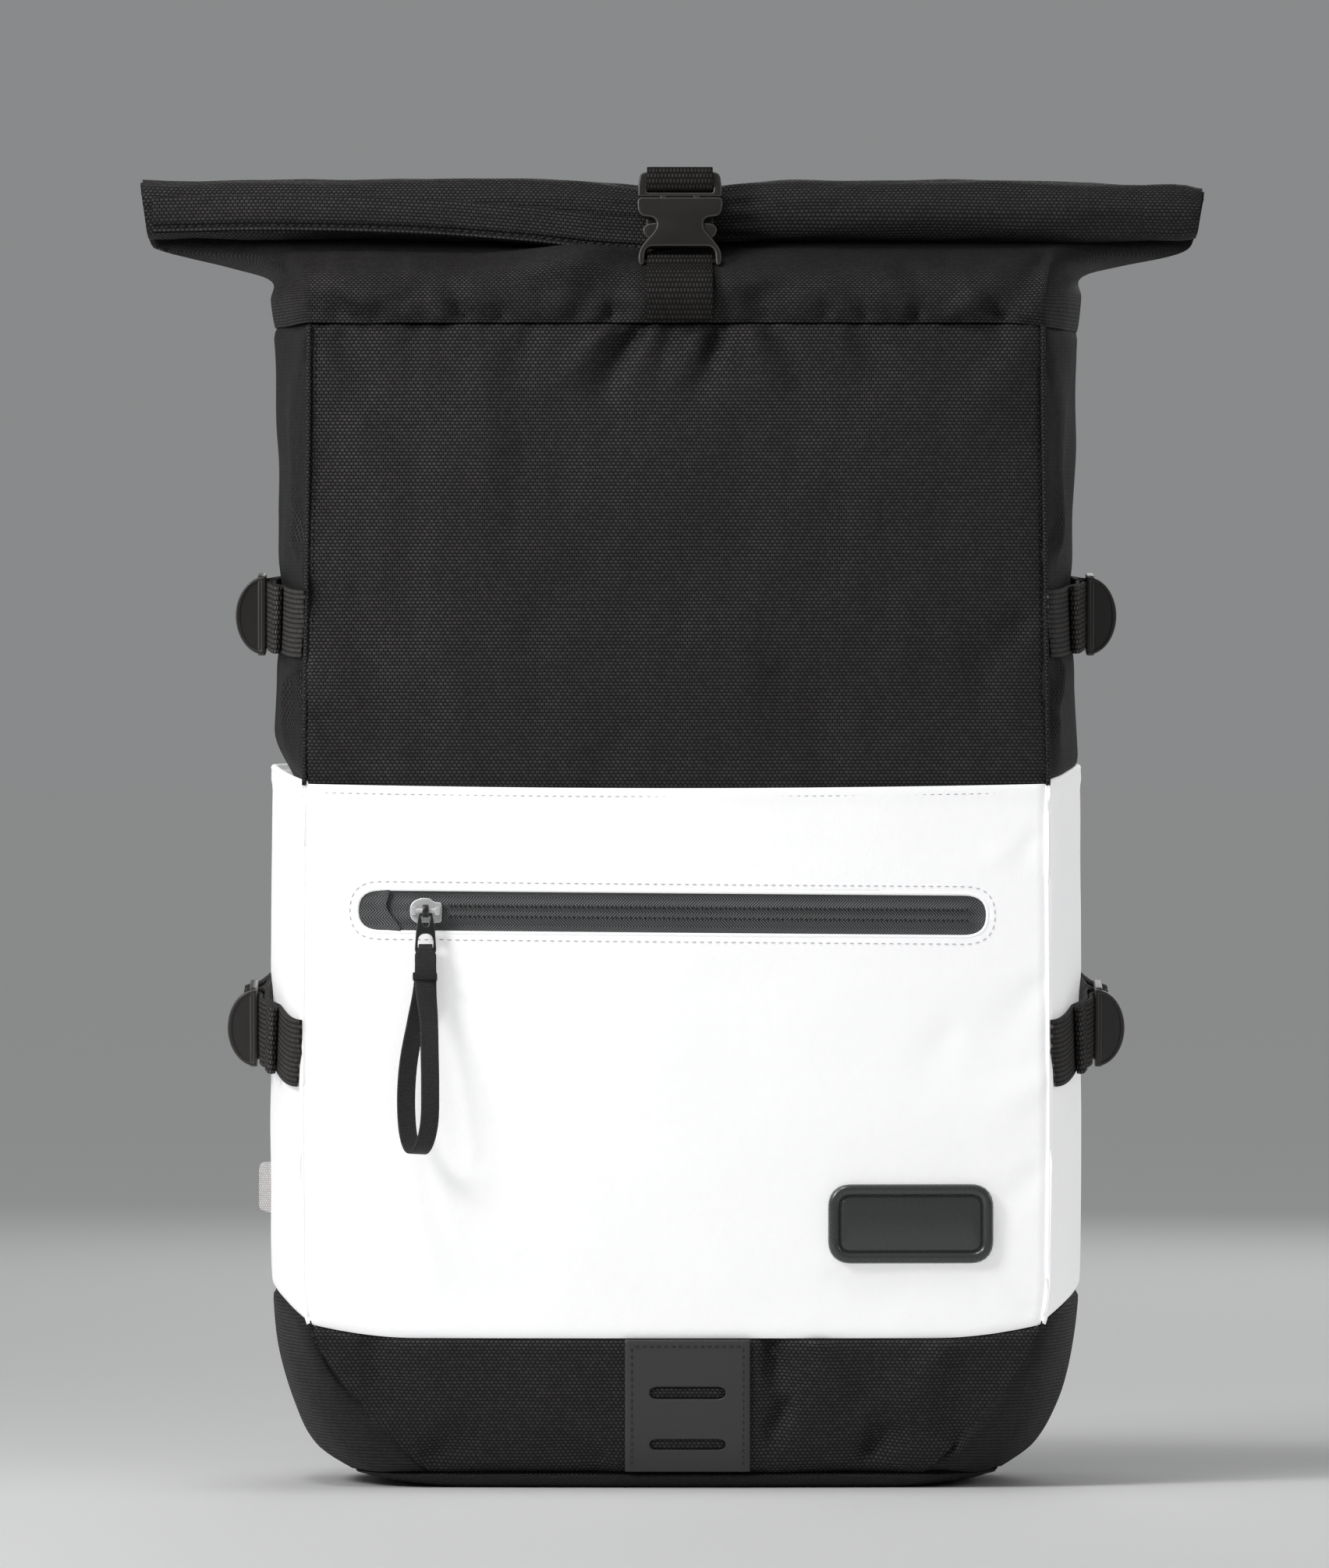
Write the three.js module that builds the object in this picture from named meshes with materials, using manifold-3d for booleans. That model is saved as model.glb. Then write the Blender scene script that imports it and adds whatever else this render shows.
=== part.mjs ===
// Roll-top laptop backpack, rolled shut and standing on its base.
// Millimetres, +Z up, the front faces -Y.
// The origin lies on the flat underside of the base, below the middle of the bag.
import * as THREE from "three";
import { mergeVertices } from "three/addons/utils/BufferGeometryUtils.js";
import Module from "manifold-3d";

const wasm = await Module();
wasm.setup();

// Driving dimensions
const gap = 0.3; // clearance between neighbouring pieces
const cloth = 1.2; // wall of a woven or coated panel
const seamEdge = 2; // how far a front or back panel stops short of its side seam
const backPad = 7; // padded back panel
const bagTop = 430; // seam between body and neck
const baseSeam = 5.2; // seam round the base
const bootTop = 55.6; // upper edge of the boot at the front
const bootRise = 5; // how much higher that edge is at the sides
const mouth = 258.5; // upper edge of the pale panels at the front
const mouthRise = 7; // how much higher the side pockets' mouths are
const pocketRoom = 8.5; // space between a side pocket and the gusset behind it
const strapWide = 25; // webbing of the side and shoulder straps
const strapThick = 1.4;
const closureX = 1.4; // the buckle hangs a little right of the middle
const closureWide = 24.4;
const closureThick = 1.3;

// A table's rows as objects, one named value for each column
function named(columns, rows) {
  return rows.map((row) => Object.fromEntries(columns.map((column, i) => [column, row[i]])));
}

// Levels of the outer skin: half width at the widest point, corner at the front seam, how far the front
// bows out between its seams, depth of the widest point, corner at the back seam, and the power of the
// corner curves (2 is an ellipse, 1 a straight chamfer)
const skinRows = named(["z", "halfWidth", "seamX", "frontY", "bow", "wideY", "backX", "backY", "power"], [
  [5.2, 121, 92, -61, 2, -8, 104, 54, 2.2],
  [14, 133.5, 101, -65, 2.5, -6, 118, 56, 2.1],
  [28, 141.5, 114, -68, 3, -4, 128, 57.5, 2],
  [46, 147, 129, -69.6, 4, 0, 134, 58, 1.75],
  [66, 150, 136.4, -69.6, 5, 2, 138, 58, 1.5],
  [92, 151, 137.6, -69.6, 6, 4, 140, 58, 1.4],
  [165, 151.2, 137.8, -69, 7, 4, 141, 58, 1.35],
  [255, 150.6, 137.2, -65, 7, 4, 141, 58, 1.35],
  [330, 148, 136.4, -61, 6, 3, 140, 58, 1.35],
  [400, 149, 135.6, -56, 4, 2, 140, 57, 1.35],
  [430, 149.5, 135.6, -53, 2, 0, 140, 56, 1.35],
]);

// Levels of the neck, from the seam to the ridge where its two layers meet: middle of the front, middle
// of the back, and the fold at each end that spreads into an ear
const neckColumns = ["frontY", "frontZ", "backY", "backZ", "tipX", "tipY", "tipZ", "seamX", "bow", "power"];
const neckRows = named(neckColumns, [
  [-53, 430.3, 56, 430.3, 149.5, 0, 430.3, 135.6, 2, 1.35],
  [-54.5, 440, 55, 442, 149, 0, 439.5, 136, 3, 1.35],
  [-50, 449, 46, 453, 148.5, -4, 446.5, 137.5, 2.5, 1.3],
  [-41, 455.5, 24, 460.5, 160, -12, 449.5, 140, 1, 1.15],
  [-28.5, 459.3, 0, 463, 178, -17, 453.5, 143, 0, 1.05],
  [-21.3, 462.6, -17.8, 464.4, 190, -19.6, 459, 145, 0, 1],
]);

// The flat neck rolls forwards: centre of the roll, radius where it starts, what each turn takes off that
// radius, half the thickness of the two layers, and the angles that it turns through
const roll = { y: -28, z: 472.8, radius: 11, pitch: 3.4, half: 1.4, from: -30, step: 36, steps: 13 };
const rollHalfLength = 196;
const rollShift = -1.4; // the roll reaches a little further on the left
const pinch = { reach: 30, squeeze: 0.14, drop: 2 }; // where the closure strap bites

// Dents below the anchor of the closure strap: place at the seam, sideways run per millimetre down,
// depth, width, length
const dentRows = [
  { x: -25, lean: -0.35, depth: 2.4, width: 6, length: 44 },
  { x: -9, lean: -0.12, depth: 1.4, width: 5, length: 30 },
  { x: 12, lean: 0.12, depth: 1.6, width: 5, length: 34 },
  { x: 26, lean: 0.4, depth: 2.2, width: 6, length: 40 },
];

// Zip of the front pocket: middle, half sizes of the window, corner radius and slant
const zip = { x: -1.4, z: 212.5, halfLong: 116.4, halfHigh: 8, corner: 6, slant: -0.0085 };
const sliderX = -92.3;
const sliderLift = 0.6; // underside of the slider above the pocket's cloth
const bridgeLift = 4.7; // bridge bar above that

// Side straps: height at the front seam, and rise per millimetre towards the back
const sideStraps = [
  { level: "upper", z: 319, rise: 0.06 },
  { level: "lower", z: 160.7, rise: 0.16 },
];

const vec = (x, y, z) => new THREE.Vector3(x, y, z);
const smooth = (a, b, v) => THREE.MathUtils.smoothstep(v, a, b);
const mix = THREE.MathUtils.lerp;
const core = vec(0, 0, bagTop / 2);

// A column of a table at height z, along a smooth cubic through its rows
function columnAt(rows, key, z) {
  let i = 0;
  while (i < rows.length - 2 && rows[i + 1].z <= z) i += 1;
  const slope = (j) => {
    const before = rows[Math.max(j - 1, 0)];
    const after = rows[Math.min(j + 1, rows.length - 1)];
    return (after[key] - before[key]) / (after.z - before.z);
  };
  const step = rows[i + 1].z - rows[i].z;
  const t = (z - rows[i].z) / step;
  const start = rows[i][key] * (2 * t ** 3 - 3 * t ** 2 + 1);
  const end = rows[i + 1][key] * (3 * t ** 2 - 2 * t ** 3);
  const leave = slope(i) * step * (t ** 3 - 2 * t ** 2 + t);
  const arrive = slope(i + 1) * step * (t ** 3 - t ** 2);
  return start + end + leave + arrive;
}

function levelAt(z) {
  const level = { z };
  for (const key of Object.keys(skinRows[0]).slice(1)) level[key] = columnAt(skinRows, key, z);
  return level;
}

// Along half the loop of a level, t is 0 at the middle of the front, then these, then 1 at the back seam.
const seamT = 0.45;
const wideT = 0.75;

function frontY(x, level) {
  return level.frontY - level.bow * (1 - (x / level.seamX) ** 2);
}

function loopPoint(t, level) {
  const side = t < 0 ? -1 : 1;
  const s = Math.abs(t);
  if (s <= seamT) {
    const x = (t / seamT) * level.seamX;
    return vec(x, frontY(x, level), level.z);
  }
  const bend = 2 / level.power;
  if (s <= wideT) {
    const angle = ((s - seamT) / (wideT - seamT)) * (Math.PI / 2);
    const x = mix(level.seamX, level.halfWidth, Math.sin(angle) ** bend);
    return vec(side * x, mix(level.wideY, level.frontY, Math.cos(angle) ** bend), level.z);
  }
  const angle = ((s - wideT) / (1 - wideT)) * (Math.PI / 2);
  const x = mix(level.backX, level.halfWidth, Math.max(Math.cos(angle), 0) ** bend);
  return vec(side * x, mix(level.wideY, level.backY, Math.sin(angle) ** bend), level.z);
}

const skinPoint = (t, z) => loopPoint(t, levelAt(z));

// Where the side of the skin lies at a given depth and height
function sideX(y, z) {
  const level = levelAt(z);
  const ahead = y < level.wideY;
  const reach = ahead ? level.frontY - level.wideY : level.backY - level.wideY;
  const share = Math.min(Math.abs((y - level.wideY) / reach), 1);
  const corner = ahead ? level.seamX : level.backX;
  return mix(corner, level.halfWidth, (1 - share ** level.power) ** (1 / level.power));
}

const bootTopAt = (t) => bootTop + bootRise * smooth(0.3, wideT, Math.abs(t));

function mouthAt(t) {
  const s = Math.abs(t);
  const front = 1.5 * Math.min(s / seamT, 1) ** 2;
  return mouth + front + (mouthRise - 1.5) * smooth(seamT, wideT, s);
}

// Closed solid from triangles, turned to face outwards
function solid(points, triangles) {
  let volume = 0;
  for (const [a, b, c] of triangles) {
    volume += points[a].dot(vec(0, 0, 0).crossVectors(points[b], points[c]));
  }
  const faces = volume < 0 ? triangles.map(([a, b, c]) => [a, c, b]) : triangles;
  const geometry = new THREE.BufferGeometry().setFromPoints(points);
  geometry.setIndex(faces.flat());
  return geometry;
}

// A sheet with thickness: point(u, v) gives its outer face, and its inner face lies inwards of that.
function wall(point, uSteps, vSteps, thickness) {
  const outer = [];
  for (let v = 0; v <= vSteps; v += 1) {
    for (let u = 0; u <= uSteps; u += 1) outer.push(point(u / uSteps, v / vSteps));
  }
  const at = (u, v) => v * (uSteps + 1) + u;
  const inner = outer.map((p, i) => {
    const u = i % (uSteps + 1);
    const v = (i - u) / (uSteps + 1);
    const along = outer[at(Math.min(u + 1, uSteps), v)].clone().sub(outer[at(Math.max(u - 1, 0), v)]);
    const up = outer[at(u, Math.min(v + 1, vSteps))].clone().sub(outer[at(u, Math.max(v - 1, 0))]);
    const normal = along.cross(up).normalize();
    if (normal.dot(p.clone().sub(core)) < 0) normal.negate();
    return p.clone().addScaledVector(normal, -thickness);
  });
  const behind = outer.length;
  const triangles = [];
  const quad = (a, b, c, d) => triangles.push([a, b, c], [a, c, d]);
  for (let v = 0; v < vSteps; v += 1) {
    for (let u = 0; u < uSteps; u += 1) {
      quad(at(u, v), at(u + 1, v), at(u + 1, v + 1), at(u, v + 1));
      quad(behind + at(u, v), behind + at(u, v + 1), behind + at(u + 1, v + 1), behind + at(u + 1, v));
    }
  }
  for (let u = 0; u < uSteps; u += 1) {
    quad(at(u, 0), behind + at(u, 0), behind + at(u + 1, 0), at(u + 1, 0));
    quad(at(u + 1, vSteps), behind + at(u + 1, vSteps), behind + at(u, vSteps), at(u, vSteps));
  }
  for (let v = 0; v < vSteps; v += 1) {
    quad(at(0, v + 1), behind + at(0, v + 1), behind + at(0, v), at(0, v));
    quad(at(uSteps, v), behind + at(uSteps, v), behind + at(uSteps, v + 1), at(uSteps, v + 1));
  }
  return solid(outer.concat(inner), triangles);
}

// A solid through closed loops of equally many points. With ring the last loop joins the first, else both
// ends are capped.
function loft(loops, ring = false) {
  const count = loops[0].length;
  const points = loops.flat();
  const triangles = [];
  const spans = ring ? loops.length : loops.length - 1;
  for (let i = 0; i < spans; i += 1) {
    const here = i * count;
    const next = ((i + 1) % loops.length) * count;
    for (let j = 0; j < count; j += 1) {
      const k = (j + 1) % count;
      triangles.push([here + j, here + k, next + k], [here + j, next + k, next + j]);
    }
  }
  if (!ring) {
    const cap = (first, turn) => {
      const middle = points.length;
      const sum = vec(0, 0, 0);
      for (let j = 0; j < count; j += 1) sum.add(points[first + j]);
      points.push(sum.divideScalar(count));
      for (let j = 0; j < count; j += 1) {
        const k = (j + 1) % count;
        triangles.push(turn ? [middle, first + k, first + j] : [middle, first + j, first + k]);
      }
    };
    cap(0, true);
    cap((loops.length - 1) * count, false);
  }
  return solid(points, triangles);
}

// Webbing along a path. Its width lies along across(i), and its thickness square to that and to the path.
function ribbon(path, across, wide, thick, ring = false) {
  const last = path.length - 1;
  const loops = path.map((p, i) => {
    const before = path[ring ? (i + last) % (last + 1) : Math.max(i - 1, 0)];
    const after = path[ring ? (i + 1) % (last + 1) : Math.min(i + 1, last)];
    const side = across(i).clone().normalize();
    const face = after.clone().sub(before).cross(side).normalize();
    const w = typeof wide === "function" ? wide(i) : wide;
    side.multiplyScalar(w / 2);
    face.multiplyScalar(thick / 2);
    const corner = (a, b) => p.clone().addScaledVector(side, a).addScaledVector(face, b);
    return [corner(-1, -1), corner(1, -1), corner(1, 1), corner(-1, 1)];
  });
  return loft(loops, ring);
}

// Joining and cutting
function manifoldOf(geometry) {
  const bare = new THREE.BufferGeometry();
  bare.setAttribute("position", geometry.getAttribute("position"));
  if (geometry.index) bare.setIndex(geometry.index);
  const merged = mergeVertices(bare, 1e-4);
  return new wasm.Manifold(
    new wasm.Mesh({
      numProp: 3,
      vertProperties: new Float32Array(merged.attributes.position.array),
      triVerts: new Uint32Array(merged.index.array),
    }),
  );
}

function geometryOf(manifold) {
  const mesh = manifold.getMesh();
  const geometry = new THREE.BufferGeometry();
  geometry.setAttribute("position", new THREE.BufferAttribute(new Float32Array(mesh.vertProperties), 3));
  geometry.setIndex(new THREE.BufferAttribute(new Uint32Array(mesh.triVerts), 1));
  return geometry;
}

const join = (...pieces) => geometryOf(pieces.map(manifoldOf).reduce((a, b) => a.add(b)));
const cut = (piece, ...tools) =>
  geometryOf(tools.map(manifoldOf).reduce((a, b) => a.subtract(b), manifoldOf(piece)));

function box(width, depth, height, x = 0, y = 0, z = 0) {
  return new THREE.BoxGeometry(width, depth, height).translate(x, y, z);
}

function roundedShape(halfWide, halfHigh, radius, Kind = THREE.Shape) {
  const shape = new Kind();
  const quarter = Math.PI / 2;
  shape.absarc(halfWide - radius, -halfHigh + radius, radius, -quarter, 0);
  shape.absarc(halfWide - radius, halfHigh - radius, radius, 0, quarter);
  shape.absarc(-halfWide + radius, halfHigh - radius, radius, quarter, 2 * quarter);
  shape.absarc(-halfWide + radius, -halfHigh + radius, radius, 2 * quarter, 3 * quarter);
  shape.closePath();
  return shape;
}

const slab = (shape, depth, curveSegments) =>
  new THREE.ExtrudeGeometry(shape, { depth, bevelEnabled: false, curveSegments });

// A flat shape drawn as seen from the front, given depth along Y from far to near
function plate(shape, far, near, curveSegments = 4) {
  return slab(shape, far - near, curveSegments).rotateX(Math.PI / 2).translate(0, far, 0);
}

// Steps that crowd towards the middle of the front
const crowd = (w) => 0.35 * w + 0.65 * w ** 3;

// Body panels
function dentAt(x, z) {
  let depth = 0;
  for (const dent of dentRows) {
    const down = bagTop - z;
    const off = (x - closureX - dent.x - dent.lean * down) / dent.width;
    depth += dent.depth * Math.exp(-off * off) * Math.max(1 - down / dent.length, 0);
  }
  return depth;
}

function frontPoint(w, z, lift = 0) {
  const level = levelAt(z);
  const x = w * (level.seamX - seamEdge);
  return vec(x, frontY(x, level) - lift, z);
}

function frontPanel() {
  return wall((u, v) => {
    const w = crowd(2 * u - 1);
    const drop = (1 - v) * (0.4 + 0.6 * (1 - v));
    const p = frontPoint(w, mix(bagTop, mouthAt(w * seamT) + gap, drop));
    p.y += dentAt(p.x, p.z);
    return p;
  }, 16, 8, cloth);
}

function pocketFront() {
  const sheet = wall((u, v) => {
    const w = 2 * u - 1;
    return frontPoint(w, mix(bootTopAt(w * seamT) + gap, mouthAt(w * seamT), v));
  }, 12, 8, cloth);
  return cut(sheet, zipPlate(zip.halfLong, zip.halfHigh, zip.corner, 0, -100));
}

function pocketSide(side) {
  return wall((u, v) => {
    const t = mix(seamT, 1, u);
    return skinPoint(side * t, mix(bootTopAt(t) + 1.5 * gap, mouthAt(t), v));
  }, 8, 7, cloth);
}

// The gusset runs behind the side pocket, so it is tucked in there.
function gusset(side) {
  return wall((u, v) => {
    const t = mix(seamT, 1, u);
    const z = mix(bootTopAt(t) + gap, bagTop, v);
    const level = levelAt(z);
    const above = smooth(mouth + 4, mouth + 44, z);
    level.halfWidth -= mix(mix(2.4, pocketRoom + cloth, smooth(bootTop + 6, bootTop + 60, z)), 0, above);
    level.seamX -= mix(2.8, 0, smooth(mouth + 10, mouth + 26, z));
    level.frontY += mix(3.2, 0, smooth(mouth + 26, mouth + 46, z));
    level.backX -= mix(2.4, 0, above);
    level.backY -= mix(1.2, 0, above);
    return loopPoint(side * t, level);
  }, 7, 12, cloth);
}

function boot() {
  return wall((u, v) => {
    const t = 2 * u - 1;
    return skinPoint(t, mix(baseSeam + gap, bootTopAt(t), v));
  }, 24, 6, cloth);
}

function basePanel() {
  const rim = levelAt(baseSeam);
  const middleY = (rim.frontY - rim.bow + rim.backY) / 2;
  const halfDeep = rim.backY - middleY;
  const steps = 24;
  const loop = (insetX, insetY, z) => {
    const points = [];
    for (let i = 0; i <= steps; i += 1) points.push(loopPoint((2 * i) / steps - 1, rim));
    for (let i = 1; i < 4; i += 1) points.push(vec(mix(rim.backX, -rim.backX, i / 4), rim.backY, 0));
    for (const p of points) {
      p.x *= (rim.halfWidth - insetX) / rim.halfWidth;
      p.y = middleY + ((p.y - middleY) * (halfDeep - insetY)) / halfDeep;
      p.z = z;
    }
    return points;
  };
  return loft([
    loop(20, 8.5, 2.2),
    loop(8, 4, 3),
    loop(1.8, 1.8, baseSeam),
    loop(0, 0, baseSeam),
    loop(5.5, 2, 1.5),
    loop(18, 7, 0),
  ]);
}

function backPanel() {
  const levels = [baseSeam + gap, 10, 17, 28, 46, 57, 61, 150, 262, 303, 370, bagTop];
  const rows = levels.length - 1;
  return wall((u, v) => {
    const w = 2 * u - 1;
    const z = levels[Math.round(v * rows)];
    const level = levelAt(z);
    const puff = 1.6 * (1 - w ** 4) * Math.sin((Math.PI * (z - baseSeam)) / (bagTop - baseSeam));
    const tucked = z > 60 && z < 290 ? 2.6 : 0; // room for the gusset's edge behind a side pocket
    return vec(-w * (level.backX - seamEdge - 0.4 - tucked), level.backY + puff, z);
  }, 6, rows, backPad);
}

// Neck and roll, one tube of cloth that lies flat and then rolls up
function rollTop() {
  const rows = neckRows.map((row) => ({ ...row, turn: 0 }));
  rows[4].turn = 0.3;
  rows[5].turn = 0.6;
  for (let i = 0; i <= roll.steps; i += 1) {
    const degrees = roll.from + roll.step * i;
    const angle = THREE.MathUtils.degToRad(degrees);
    const radius = roll.radius - (roll.pitch * (degrees - roll.from)) / 360;
    const at = (r) => [roll.y + r * Math.cos(angle), roll.z + r * Math.sin(angle)];
    const [frontAt, backAt, tipAt] = [at(radius - roll.half), at(radius + roll.half), at(radius)];
    rows.push({
      frontY: frontAt[0], frontZ: frontAt[1], backY: backAt[0], backZ: backAt[1],
      tipX: rollHalfLength, tipY: tipAt[0], tipZ: tipAt[1], seamX: 146, bow: 0, power: 1, turn: 1,
    });
  }
  const across = 8;
  const ends = 3;
  const loopOf = (row, inset) => {
    const run = vec(0, row.backY - row.frontY, row.backZ - row.frontZ).normalize();
    const front = vec(0, row.frontY, row.frontZ).addScaledVector(run, inset);
    const back = vec(0, row.backY, row.backZ).addScaledVector(run, -inset);
    const tip = vec(row.tipX - inset, row.tipY, row.tipZ);
    const seamX = Math.min(row.seamX, row.tipX - inset - 1);
    const points = [];
    const straight = (from, middle) => {
      for (let i = 0; i <= across; i += 1) {
        const w = crowd((2 * i) / across - 1);
        const bow = middle === front ? row.bow * (1 - w * w) : 0;
        points.push(vec(from * w * -seamX, middle.y - bow, middle.z));
      }
    };
    const corner = (side, start, toTip) => {
      for (let i = 1; i <= ends; i += 1) {
        const angle = ((toTip ? i : ends - i) / ends) * (Math.PI / 2);
        if (!toTip && i === ends) break;
        const bend = 2 / row.power;
        const out = Math.sin(angle) ** bend;
        const keep = Math.max(Math.cos(angle), 0) ** bend;
        const x = side * mix(seamX, tip.x, out);
        points.push(vec(x, mix(tip.y, start.y, keep), mix(tip.z, start.z, keep)));
      }
    };
    straight(-1, front);
    corner(1, front, true);
    corner(1, back, false);
    straight(1, back);
    corner(-1, back, true);
    corner(-1, front, false);
    for (const p of points) {
      const bite = row.turn * Math.exp(-(((p.x - closureX) / pinch.reach) ** 2));
      if (row.turn === 1) {
        p.y = mix(p.y, roll.y, pinch.squeeze * bite);
        p.z = mix(p.z, roll.z, pinch.squeeze * bite);
      }
      p.z -= pinch.drop * bite;
      p.x += rollShift * (row.turn === 1 ? 1 : 0);
    }
    return points;
  };
  const outside = rows.map((row) => loopOf(row, 0));
  const inside = rows.map((row) => loopOf(row, cloth)).reverse();
  return loft(outside.concat(inside), true);
}

// Closure strap and buckle. Points of the buckle are given along its height v and out of its face w.
const buckle = { y: -45.6, z: 478.8, lean: THREE.MathUtils.degToRad(8) };
const buckleAt = (w, v) => vec(
  closureX,
  buckle.y + v * Math.sin(buckle.lean) - w * Math.cos(buckle.lean),
  buckle.z + v * Math.cos(buckle.lean) + w * Math.sin(buckle.lean),
);
const seat = (geometry) => geometry.rotateX(-buckle.lean).translate(closureX, buckle.y, buckle.z);
const acrossX = () => vec(1, 0, 0);

function mirrored(corners) {
  const right = corners.map(([x, z]) => new THREE.Vector2(x, z));
  const left = corners.map(([x, z]) => new THREE.Vector2(-x, z)).reverse();
  return new THREE.Shape(right.concat(left));
}

function buckleSocket() {
  const outline = mirrored([
    [14.6, 0], [15.5, -1.2], [15.5, -5], [11.9, -6.4], [11, -7.6], [10.7, -11.6],
    [11.6, -13.6], [13.7, -17.5], [14.9, -19], [14.9, -23], [14, -23.7],
  ]);
  const body = plate(outline, 3.5, -3.5);
  const slot = box(25.4, 9, 2.5, 0, 0, -20.45);
  const behindBar = box(25.4, 4, 3, 0, 3.1, -22.8);
  const beforeBar = box(25.4, 4, 3, 0, -3.1, -22.8);
  const well = box(19, 3.4, 15.4, 0, 0, -7.3);
  const windows = box(34, 3.6, 5.6, 0, 0, -9.8);
  return seat(cut(body, slot, behindBar, beforeBar, well, windows));
}

function bucklePlug() {
  const base = plate(mirrored([[15.4, 0.3], [15.4, 4], [14.8, 8.6], [14, 9.4]]), 2.3, -2.3);
  const hook = [[9.1, 1], [9.1, -7.4], [13.4, -8], [13.2, -11.2], [9.6, -12.2], [5.6, -12.2], [5.6, -1]];
  const arms = plate(mirrored(hook), 1.3, -1.3);
  const slot = box(25.4, 9, 3.2, 0, 0, 4.9);
  const thinBar = [box(25.4, 2, 4, 0, 2.5, 8), box(25.4, 2, 4, 0, -2.5, 8)];
  const wide = box(18.2, 2.6, 4, 0, 0, -1);
  return seat(cut(join(base, wide, arms), slot, ...thinBar));
}

function closureStrapUpper() {
  const wrap = [[-2.6, 9], [-2.4, 6.6], [-1.3, 5], [1.2, 5], [2.4, 6.6], [2.4, 9.4], [1.1, 11.1]];
  const over = [
    [-37.5, 488.2], [-31, 484.9], [-25.5, 482], [-19.2, 478.8], [-13.2, 474.8], [-4, 468.9], [8, 465.7],
    [26, 462.6], [40, 458.2], [47.4, 454.6], [53, 449.2], [57.4, 441.4], [58, 432], [58.1, 414],
  ];
  const path = wrap.map(([w, v]) => buckleAt(w, v)).concat(over.map(([y, z]) => vec(closureX, y, z)));
  return ribbon(path, acrossX, closureWide, closureThick);
}

function closureStrapLower() {
  const behind = [[-56.1, 431.5], [-58.8, 440], [-57, 446.6], [-52.6, 451.2]];
  const bar = [[-2.4, -24.6], [-2.5, -22.8], [-1.8, -20.6], [0, -20.1], [1.8, -20.6], [2.5, -22.8]];
  const before = [[-53, 453.2], [-58.4, 448], [-60.6, 440], [-57.8, 431.5]];
  const path = behind.map(([y, z]) => vec(closureX, y, z))
    .concat(bar.map(([w, v]) => buckleAt(w, v)))
    .concat(before.map(([y, z]) => vec(closureX, y, z)));
  return ribbon(path, acrossX, closureWide, closureThick);
}

// Zip of the front pocket
function zipPlate(halfLong, halfHigh, corner, far, near) {
  const shape = roundedShape(halfLong, halfHigh, corner);
  return plate(shape, far, near).rotateY(-zip.slant).translate(zip.x, 0, zip.z);
}

const zipZ = (x) => zip.z + zip.slant * (x - zip.x);
const skinY = (x, z) => frontY(x, levelAt(z));

function zipTape() {
  const profile = [[-12, 0], [-4, 0], [-3.2, 1.2], [3.2, 1.2], [4, 0], [12, 0]];
  const columns = 12;
  const place = (i) => {
    if (i === 0) return -120.5;
    if (i === 1) return -101;
    if (i === columns - 1) return 109;
    if (i === columns) return 117.6;
    return mix(-99.5, 107.5, (i - 2) / (columns - 4));
  };
  return wall((u, v) => {
    const [off, ridge] = profile[Math.round(v * (profile.length - 1))];
    const i = Math.round(u * columns);
    const x = place(i);
    const z = zipZ(x) + off;
    const coil = i > 1 && i < columns - 1 ? ridge : 0;
    return vec(x, skinY(x, z) + cloth + gap - coil, z);
  }, columns, profile.length - 1, 0.9);
}

function zipFlap() {
  const shape = new THREE.Shape();
  shape.moveTo(-101.5, -7.4);
  shape.lineTo(-107.5, 1.5);
  shape.lineTo(-106, 7.4);
  shape.lineTo(-112, 7.4);
  shape.absarc(-112, 2.2, 5.2, Math.PI / 2, Math.PI);
  shape.absarc(-112, -2.2, 5.2, Math.PI, 1.5 * Math.PI);
  shape.closePath();
  const y = skinY(-110, zip.z);
  const slope = (skinY(-117, zip.z) - skinY(-102, zip.z)) / 15;
  const flap = plate(shape, 0.45, -0.45).translate(110, 0, 0).rotateZ(-Math.atan(slope));
  return flap.translate(-110, y + 0.15, zipZ(-110));
}

function zipSlider() {
  const body = plate(roundedShape(6, 4.8, 2), 0, -1.7);
  const posts = [-4.4, 4.4].map((x) => box(1.8, bridgeLift + 0.3, 3, x, -(bridgeLift + 0.3) / 2 - 0.6, 0));
  const bar = new THREE.CylinderGeometry(1, 1, 9.6, 12).rotateZ(Math.PI / 2).translate(0, -bridgeLift, 0);
  const z = zipZ(sliderX);
  return join(body, ...posts, bar).translate(sliderX, skinY(sliderX, z) - sliderLift, z);
}

const pullLean = THREE.MathUtils.degToRad(-6); // the pull rests against the bulging pocket
function hang(geometry) {
  const z = zipZ(sliderX);
  return geometry.rotateX(pullLean).translate(sliderX, skinY(sliderX, z) - sliderLift - bridgeLift, z);
}

function zipPull() {
  const eye = new THREE.CylinderGeometry(2.4, 2.4, 3.6, 14).rotateZ(Math.PI / 2);
  const bore = new THREE.CylinderGeometry(1.4, 1.4, 8, 14).rotateZ(Math.PI / 2);
  const blade = mirrored([[1.8, -1], [2.3, -2.6], [3.5, -7], [4, -15], [3.6, -15.8]]);
  const slot = roundedShape(2.8, 2.75, 0.4);
  const hole = plate(slot, 4, -4).translate(0, 0, -11.2);
  return hang(cut(join(eye, plate(blade, 0.7, -0.7)), bore, hole));
}

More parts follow.
